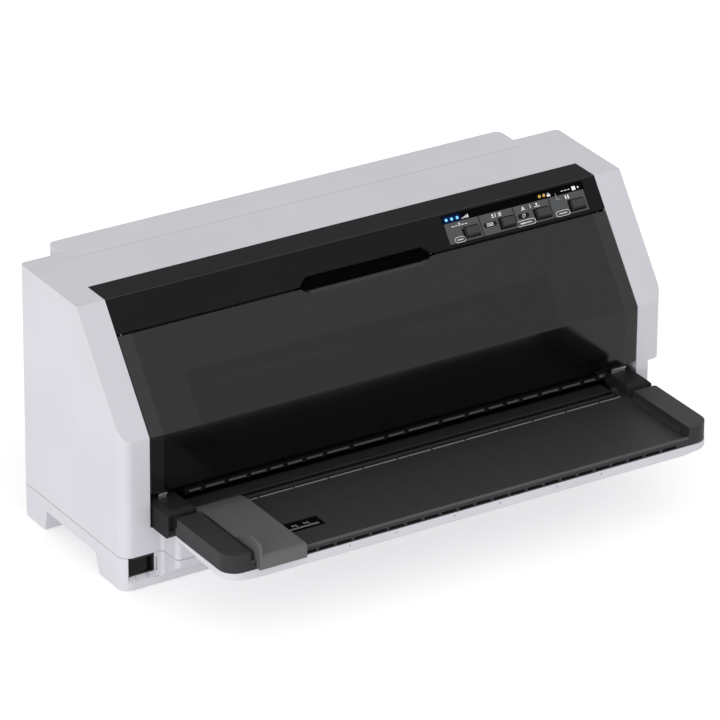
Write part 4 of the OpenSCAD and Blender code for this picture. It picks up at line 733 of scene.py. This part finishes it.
def make_belt(finish, trim):
    """The toothed belt: a flat loop round both pulleys whose inner face waves once per tooth.

    The loop is a straight run, a half circle, a straight run and a half circle, walked by its length.
    """
    low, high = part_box("carriage_belt")
    radius = (high.y - low.y) / 2
    half = (high.x - low.x) / 2 - radius
    centre_y = (low.y + high.y) / 2
    steps = trim.teeth * 4
    loop = 4 * half + 2 * math.pi * radius
    t = np.arange(steps) / steps * loop
    run, turn = 2 * half, math.pi * radius
    leg = np.searchsorted(np.cumsum([run, turn, run]), t, side="right")
    u = t - np.array([0, run, run + turn, 2 * run + turn])[leg]
    sine, cosine = np.sin(u / radius), np.cos(u / radius)
    nx = np.choose(leg, [0 * u, sine, 0 * u, -sine])
    ny = np.choose(leg, [-1 + 0 * u, -cosine, 1 + 0 * u, cosine])
    x = np.choose(leg, [u - half, half + 0 * u, half - u, -half + 0 * u]) + radius * nx
    y = radius * ny
    inward = 0.6 * MM + 0.7 * MM * (np.arange(steps) % 4 < 2)
    outer = np.c_[x, y + centre_y]
    inner = np.c_[x - nx * inward, y + centre_y - ny * inward]
    points, faces = ring(outer, inner, low.z, high.z)
    look = rubbery("belt_rubber_look", (0.012, 0.012, 0.012), finish.edge * 0.3)
    belt = add_piece("toothed_belt", points, faces, look, "chassis")
    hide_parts("carriage_belt")


# ---------- operators ----------


class PRINTER_OT_case(bpy.types.Operator):
    """Finish the case, its tray, feet and screws"""

    bl_idname = "printer.case"
    bl_label = "Finish the case"

    def execute(self, context):
        f = context.scene.printer_finish
        dress(moulded("case_moulding", f.case, 0.42, f.grain, f.edge), "lower_case", "upper_case")
        dress(moulded("tray_moulding", f.case, 0.4, f.grain, f.edge), "table_tray")
        dress(rubbery("pad_rubber", (0.02, 0.02, 0.02), f.edge), "foot_pads")
        dress(plated("screw_zinc", f.steel, 0.35, f.edge * 0.4), "case_screws")
        return {"FINISHED"}


class PRINTER_OT_front(bpy.types.Operator):
    """Finish the band, the smoked cover, the panel and its buttons"""

    bl_idname = "printer.front"
    bl_label = "Finish the front"

    def execute(self, context):
        f = context.scene.printer_finish
        # The mark along the fold of the band is a painted highlight, a lighter line across the ridge.
        dress(moulded("band_moulding", f.band, 0.36, f.grain * 0.6, f.edge, depth=0.000012, edge_highlight=0.0, shine=0.02,
                      marks=[({"down": (-0.4, 0.4)}, (0.032, 0.032, 0.034))]), "top_band")
        # The sheet is painted darker over the lower part of the slope and below the mouth line. Its side margins are
        # painted lighter: painted light from the lit inside seen through the clear margins, dimmer below the mouth
        # line.
        dark, dim, clear = ([c * share for c in f.cover] for share in (0.35, 1.4, 2.5))
        mouth, margin = (0, 123), (204.5, 240)
        sheet = [({"x": (-172, 147), "down": (66, 200)}, dark), ({"side": (0, margin[0]), "z": mouth}, dark),
                 ({"side": margin}, clear), ({"side": margin, "z": mouth}, dim)]
        smoked = glossy("smoked_sheet", f.cover, 0.09, f.edge, alpha=0.95, haze=0.003, shine=0.4, marks=sheet)
        dress(smoked, "front_cover")
        dress(moulded("panel_moulding", f.panel, 0.45, f.grain * 0.5, f.edge * 0.3), "panel_plate")
        # Painted shade: the keys are black on a strip at their left and below their face, and these two sizes in
        # millimetres set where.
        key_tint, left_shade_width, low_shade_from = [c * 0.58 for c in f.panel], 1.9, 20.7
        for i in (1, 2, 3, 4):
            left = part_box(f"button_{i}")[0].x / MM + left_shade_width
            key = keycap(f"key_moulding_{i}", key_tint, left, low_shade_from, f.grain * 0.5, f.edge * 0.5)
            dress(key, f"button_{i}")
        xs = [centre[0] for centre in lens_centres()]
        dress(lamps("lamp_lenses", (xs[LIT_LAMPS - 1] + xs[LIT_LAMPS]) / 2), "status_lamps")
        dress(glossy("rocker_moulding", [c * 0.4 for c in f.black], 0.22, f.edge * 0.5, shine=0.12), "power_rocker")
        dress(moulded("switch_moulding", f.black, 0.5, f.grain, f.edge * 0.5), "power_switch_housing", "power_socket")
        return {"FINISHED"}


class PRINTER_OT_table(bpy.types.Operator):
    """Finish the paper table, its hinge blocks and the edge guide"""

    bl_idname = "printer.table"
    bl_label = "Finish the table"

    def execute(self, context):
        f = context.scene.printer_finish
        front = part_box("paper_table")[0].y / MM
        # Painted highlights: a light line along the rear rim and a lighter front chamfer.
        rear_rim_highlight, front_chamfer_highlight = [c * 9 for c in f.table], [c * 3 for c in f.table]
        rim_highlights = [({"side": (0, 190), "y": (-96.0, -94.8), "z": (62.6, 63.2)}, rear_rim_highlight),
                ({"side": (0, 193), "y": (front - 1, front + 1.6), "z": (61.0, 63.0)}, front_chamfer_highlight)]
        dress(moulded("table_moulding", f.table, 0.48, f.grain * 1.2, f.edge, depth=0.00003, edge_highlight=0.3, shine=0.2,
                      marks=rim_highlights), "paper_table")
        # Painted shade: two deep bands of the entry guide are painted near black.
        pit = (0.001, 0.001, 0.001)
        pit_shades = [({"y": (-86.4, -82.4), "z": (20, 61.6)}, pit), ({"y": (-68.4, -50.0), "z": (20, 61.0)}, pit)]
        dress(moulded("entry_moulding", [c * 0.8 for c in f.table], 0.48, f.grain * 1.2, f.edge, edge_highlight=0.3, shine=0.15,
                      marks=pit_shades), "entry_guide")
        dress(moulded("block_moulding", [c * 0.62 for c in f.table], 0.5, f.grain * 1.2, f.edge, edge_highlight=0.3, shine=0.1),
              "hinge_blocks")
        dress(moulded("guide_moulding", f.guide, 0.4, f.grain, f.edge), "edge_guide")
        dress(moulded("inner_moulding", f.black, 0.5, f.grain, f.edge, edge_highlight=0.3),
              "rear_pinch_frame", "tractor_frame", "rear_guide", "ribbon_cartridge", "carriage", "feed_knob")
        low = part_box("front_pinch_frame")[0] / MM
        roller_axis = (low.y + 1.9, low.z + 2.9)
        dress(roller_frame("roller_bar", [c * 0.4 for c in f.black], roller_axis, (0.065, 0.065, 0.07), f.grain,
                           f.edge * 0.4), "front_pinch_frame")
        dress(moulded("tractor_moulding", f.guide, 0.45, f.grain, f.edge * 0.6),
              "tractor_left", "tractor_right", "tractor_flap_left", "tractor_flap_right")
        return {"FINISHED"}


class PRINTER_OT_mechanism(bpy.types.Operator):
    """Finish the frame, rollers, gears, print head, motors and boards"""

    bl_idname = "printer.mechanism"
    bl_label = "Finish the mechanism"

    def execute(self, context):
        f = context.scene.printer_finish
        dress(plated("frame_zinc", f.steel, 0.36, f.edge * 0.5, (1.0, 0.1, 1.0)),
              "base_pan", "side_frame_left", "side_frame_right", "front_rail", "idler_bracket", "paper_bed")
        dress(plated("socket_shell", f.steel, 0.3, f.edge * 0.4), "interface_sockets")
        dress(plated("ground_rod", (0.66, 0.67, 0.69), 0.16, f.edge * 0.4, (0.05, 1.0, 1.0)), "carriage_rod")
        dress(plated("motor_can", [c * 0.7 for c in f.steel], 0.38, f.edge * 0.5), "feed_motor", "carriage_motor")
        dress(plated("brass_stock", (0.62, 0.46, 0.20), 0.28, f.edge * 0.3),
              "feed_pinion", "drive_pulley", "idler_pulley")
        dress(plated("head_casting", (0.22, 0.225, 0.235), 0.5, f.edge * 0.5), "print_head")
        dress(moulded("gear_nylon", f.nylon, 0.45, f.grain * 0.6, f.edge * 0.3), "front_idler_gear", "rear_idler_gear",
              "pin_wheel_left", "pin_wheel_right")
        dress(rubbery("platen_face", (0.02, 0.02, 0.021), f.edge), "platen", "carriage_belt")
        dress(woven("ribbon_cloth", (0.006, 0.006, 0.007)), "ribbon")
        dress(moulded("knob_moulding", (0.05, 0.13, 0.30), 0.4, f.grain, f.edge * 0.5), "ribbon_knob")
        dress(board("board_lacquer", (0.012, 0.11, 0.045)), "main_board")
        dress(board("board_paper", (0.20, 0.12, 0.04)), "power_board")
        gear_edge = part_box("side_frame_left")[0].x
        colours = (f.steel, (0.022, 0.022, 0.024), f.nylon)
        for name in ("front_roller", "rear_roller", "tractor_shaft", "front_pinch_rollers", "rear_pinch_rollers"):
            low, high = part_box(name)
            centre = ((low.y + high.y) / 2, (low.z + high.z) / 2)
            shaft = 1.7 * MM if "pinch" in name else 4.2 * MM
            dress(banded(f"{name}_look", centre, shaft, gear_edge, colours), name)
        return {"FINISHED"}


class PRINTER_OT_signs(bpy.types.Operator):
    """Print the panel's signs, the table's scale and the switch's marks"""

    bl_idname = "printer.signs"
    bl_label = "Print the signs"

    def execute(self, context):
        f, t = context.scene.printer_finish, context.scene.printer_trim
        plate = Plate(t)
        make_panel_window(plate)
        make_panel_lines(plate, f)
        make_panel_signs(plate, f)
        make_table_scale(f, t)
        make_ledge_marks(f, t)
        return {"FINISHED"}


class PRINTER_OT_trim(bpy.types.Operator):
    """Add the painted shade sheet in the recess, the dark seam strips of painted shade, the hinge tabs and the toothed
    belt
    """

    bl_idname = "printer.trim"
    bl_label = "Add the trim"

    def execute(self, context):
        f, t = context.scene.printer_finish, context.scene.printer_trim
        make_recess_shade_sheet(f)
        make_hinge_tabs(f)
        make_belt(f, t)
        return {"FINISHED"}


def floor_material():
    """Matt pale board with a faint cloudy tone."""
    s = Shader("floor_board")
    tone = s.mix(s.noise(0.8, 2.0), (0.55, 0.55, 0.555), (0.57, 0.57, 0.575))
    return s.finish(base_color=tone, roughness=0.75, emission_color=(1.0, 1.0, 1.0), emission_strength=0.5)


def aim(thing, target):
    """Turns a light towards a target."""
    thing.rotation_euler = (Vector(target) - thing.location).to_track_quat("-Z", "Y").to_euler()


def add_light(name, place, size, power, target):
    """A square soft light."""
    data = bpy.data.lights.new(name, "AREA")
    data.energy, data.size = power, size
    light = bpy.data.objects.new(name, data)
    light.location = place
    bpy.context.scene.collection.objects.link(light)
    aim(light, target)


class PRINTER_OT_stage(bpy.types.Operator):
    """Lay the floor and set the lights and the camera"""

    bl_idname = "printer.stage"
    bl_label = "Set the stage"

    def execute(self, context):
        stage = context.scene.printer_stage
        floor_wide = 12.0
        mesh = bpy.data.meshes.new("floor")
        mesh.from_pydata([(x, y, 0.0) for x, y in bar(0, 0, floor_wide, floor_wide)], [], [(0, 1, 2, 3)])
        mesh.materials.append(floor_material())
        floor = bpy.data.objects.new("floor", mesh)
        context.scene.collection.objects.link(floor)

        world = bpy.data.worlds.new("studio")
        world.use_nodes = True
        background = world.node_tree.nodes["Background"]
        background.inputs["Color"].default_value = (1.0, 1.0, 1.0, 1.0)
        background.inputs["Strength"].default_value = stage.world
        context.scene.world = world
        context.scene.view_settings.view_transform = "Standard"
        add_light("key_light", (-2.65, -1.75, 0.62), 1.6, stage.key, (0.0, 0.0, 0.1))

        azimuth, elevation = stage.azimuth, stage.elevation
        flat = math.cos(elevation)
        back = Vector((math.sin(azimuth) * flat, -math.cos(azimuth) * flat, math.sin(elevation)))
        level = Vector((math.cos(azimuth), math.sin(azimuth), 0.0))
        upright = back.cross(level)
        right = math.cos(stage.roll) * level + math.sin(stage.roll) * upright
        up = math.cos(stage.roll) * upright - math.sin(stage.roll) * level
        target = Vector((0.0, 0.0584, 0.1055))
        camera = bpy.data.objects.new("camera", bpy.data.cameras.new("camera"))
        place = target + back * stage.distance + right * stage.slide - up * stage.drop
        turn = Matrix((right, up, back)).transposed().to_4x4()
        camera.matrix_world = Matrix.Translation(place) @ turn
        camera.data.lens = stage.focal_mm
        camera.data.sensor_width = 36.0
        context.scene.collection.objects.link(camera)
        context.scene.camera = camera
        return {"FINISHED"}


class PRINTER_PT_looks(bpy.types.Panel):
    """Lists the steps that dress the printer"""

    bl_label = "Printer looks"
    bl_idname = "PRINTER_PT_looks"
    bl_space_type = "VIEW_3D"
    bl_region_type = "UI"
    bl_category = "Printer"

    def draw(self, context):
        for step in STEPS:
            self.layout.operator(step.bl_idname)
        for group in (context.scene.printer_finish, context.scene.printer_trim, context.scene.printer_stage):
            for key in group.__annotations__:
                self.layout.prop(group, key)


STEPS = (PRINTER_OT_stage, PRINTER_OT_case, PRINTER_OT_front, PRINTER_OT_table, PRINTER_OT_mechanism,
         PRINTER_OT_signs, PRINTER_OT_trim)
CLASSES = (PrinterFinish, PrinterTrim, PrinterStage, *STEPS, PRINTER_PT_looks)


def register():
    """Registers the classes and hangs the settings on the scene."""
    for cls in CLASSES:
        bpy.utils.register_class(cls)
    bpy.types.Scene.printer_finish = PointerProperty(type=PrinterFinish)
    bpy.types.Scene.printer_trim = PointerProperty(type=PrinterTrim)
    bpy.types.Scene.printer_stage = PointerProperty(type=PrinterStage)


def unregister():
    """Takes the settings off the scene and unregisters the classes."""
    del bpy.types.Scene.printer_stage
    del bpy.types.Scene.printer_trim
    del bpy.types.Scene.printer_finish
    for cls in reversed(CLASSES):
        bpy.utils.unregister_class(cls)


def main():
    """Runs every step."""
    register()
    for step in STEPS:
        group, name = step.bl_idname.split(".")
        getattr(getattr(bpy.ops, group), name)()


if __name__ == "__main__":
    main()
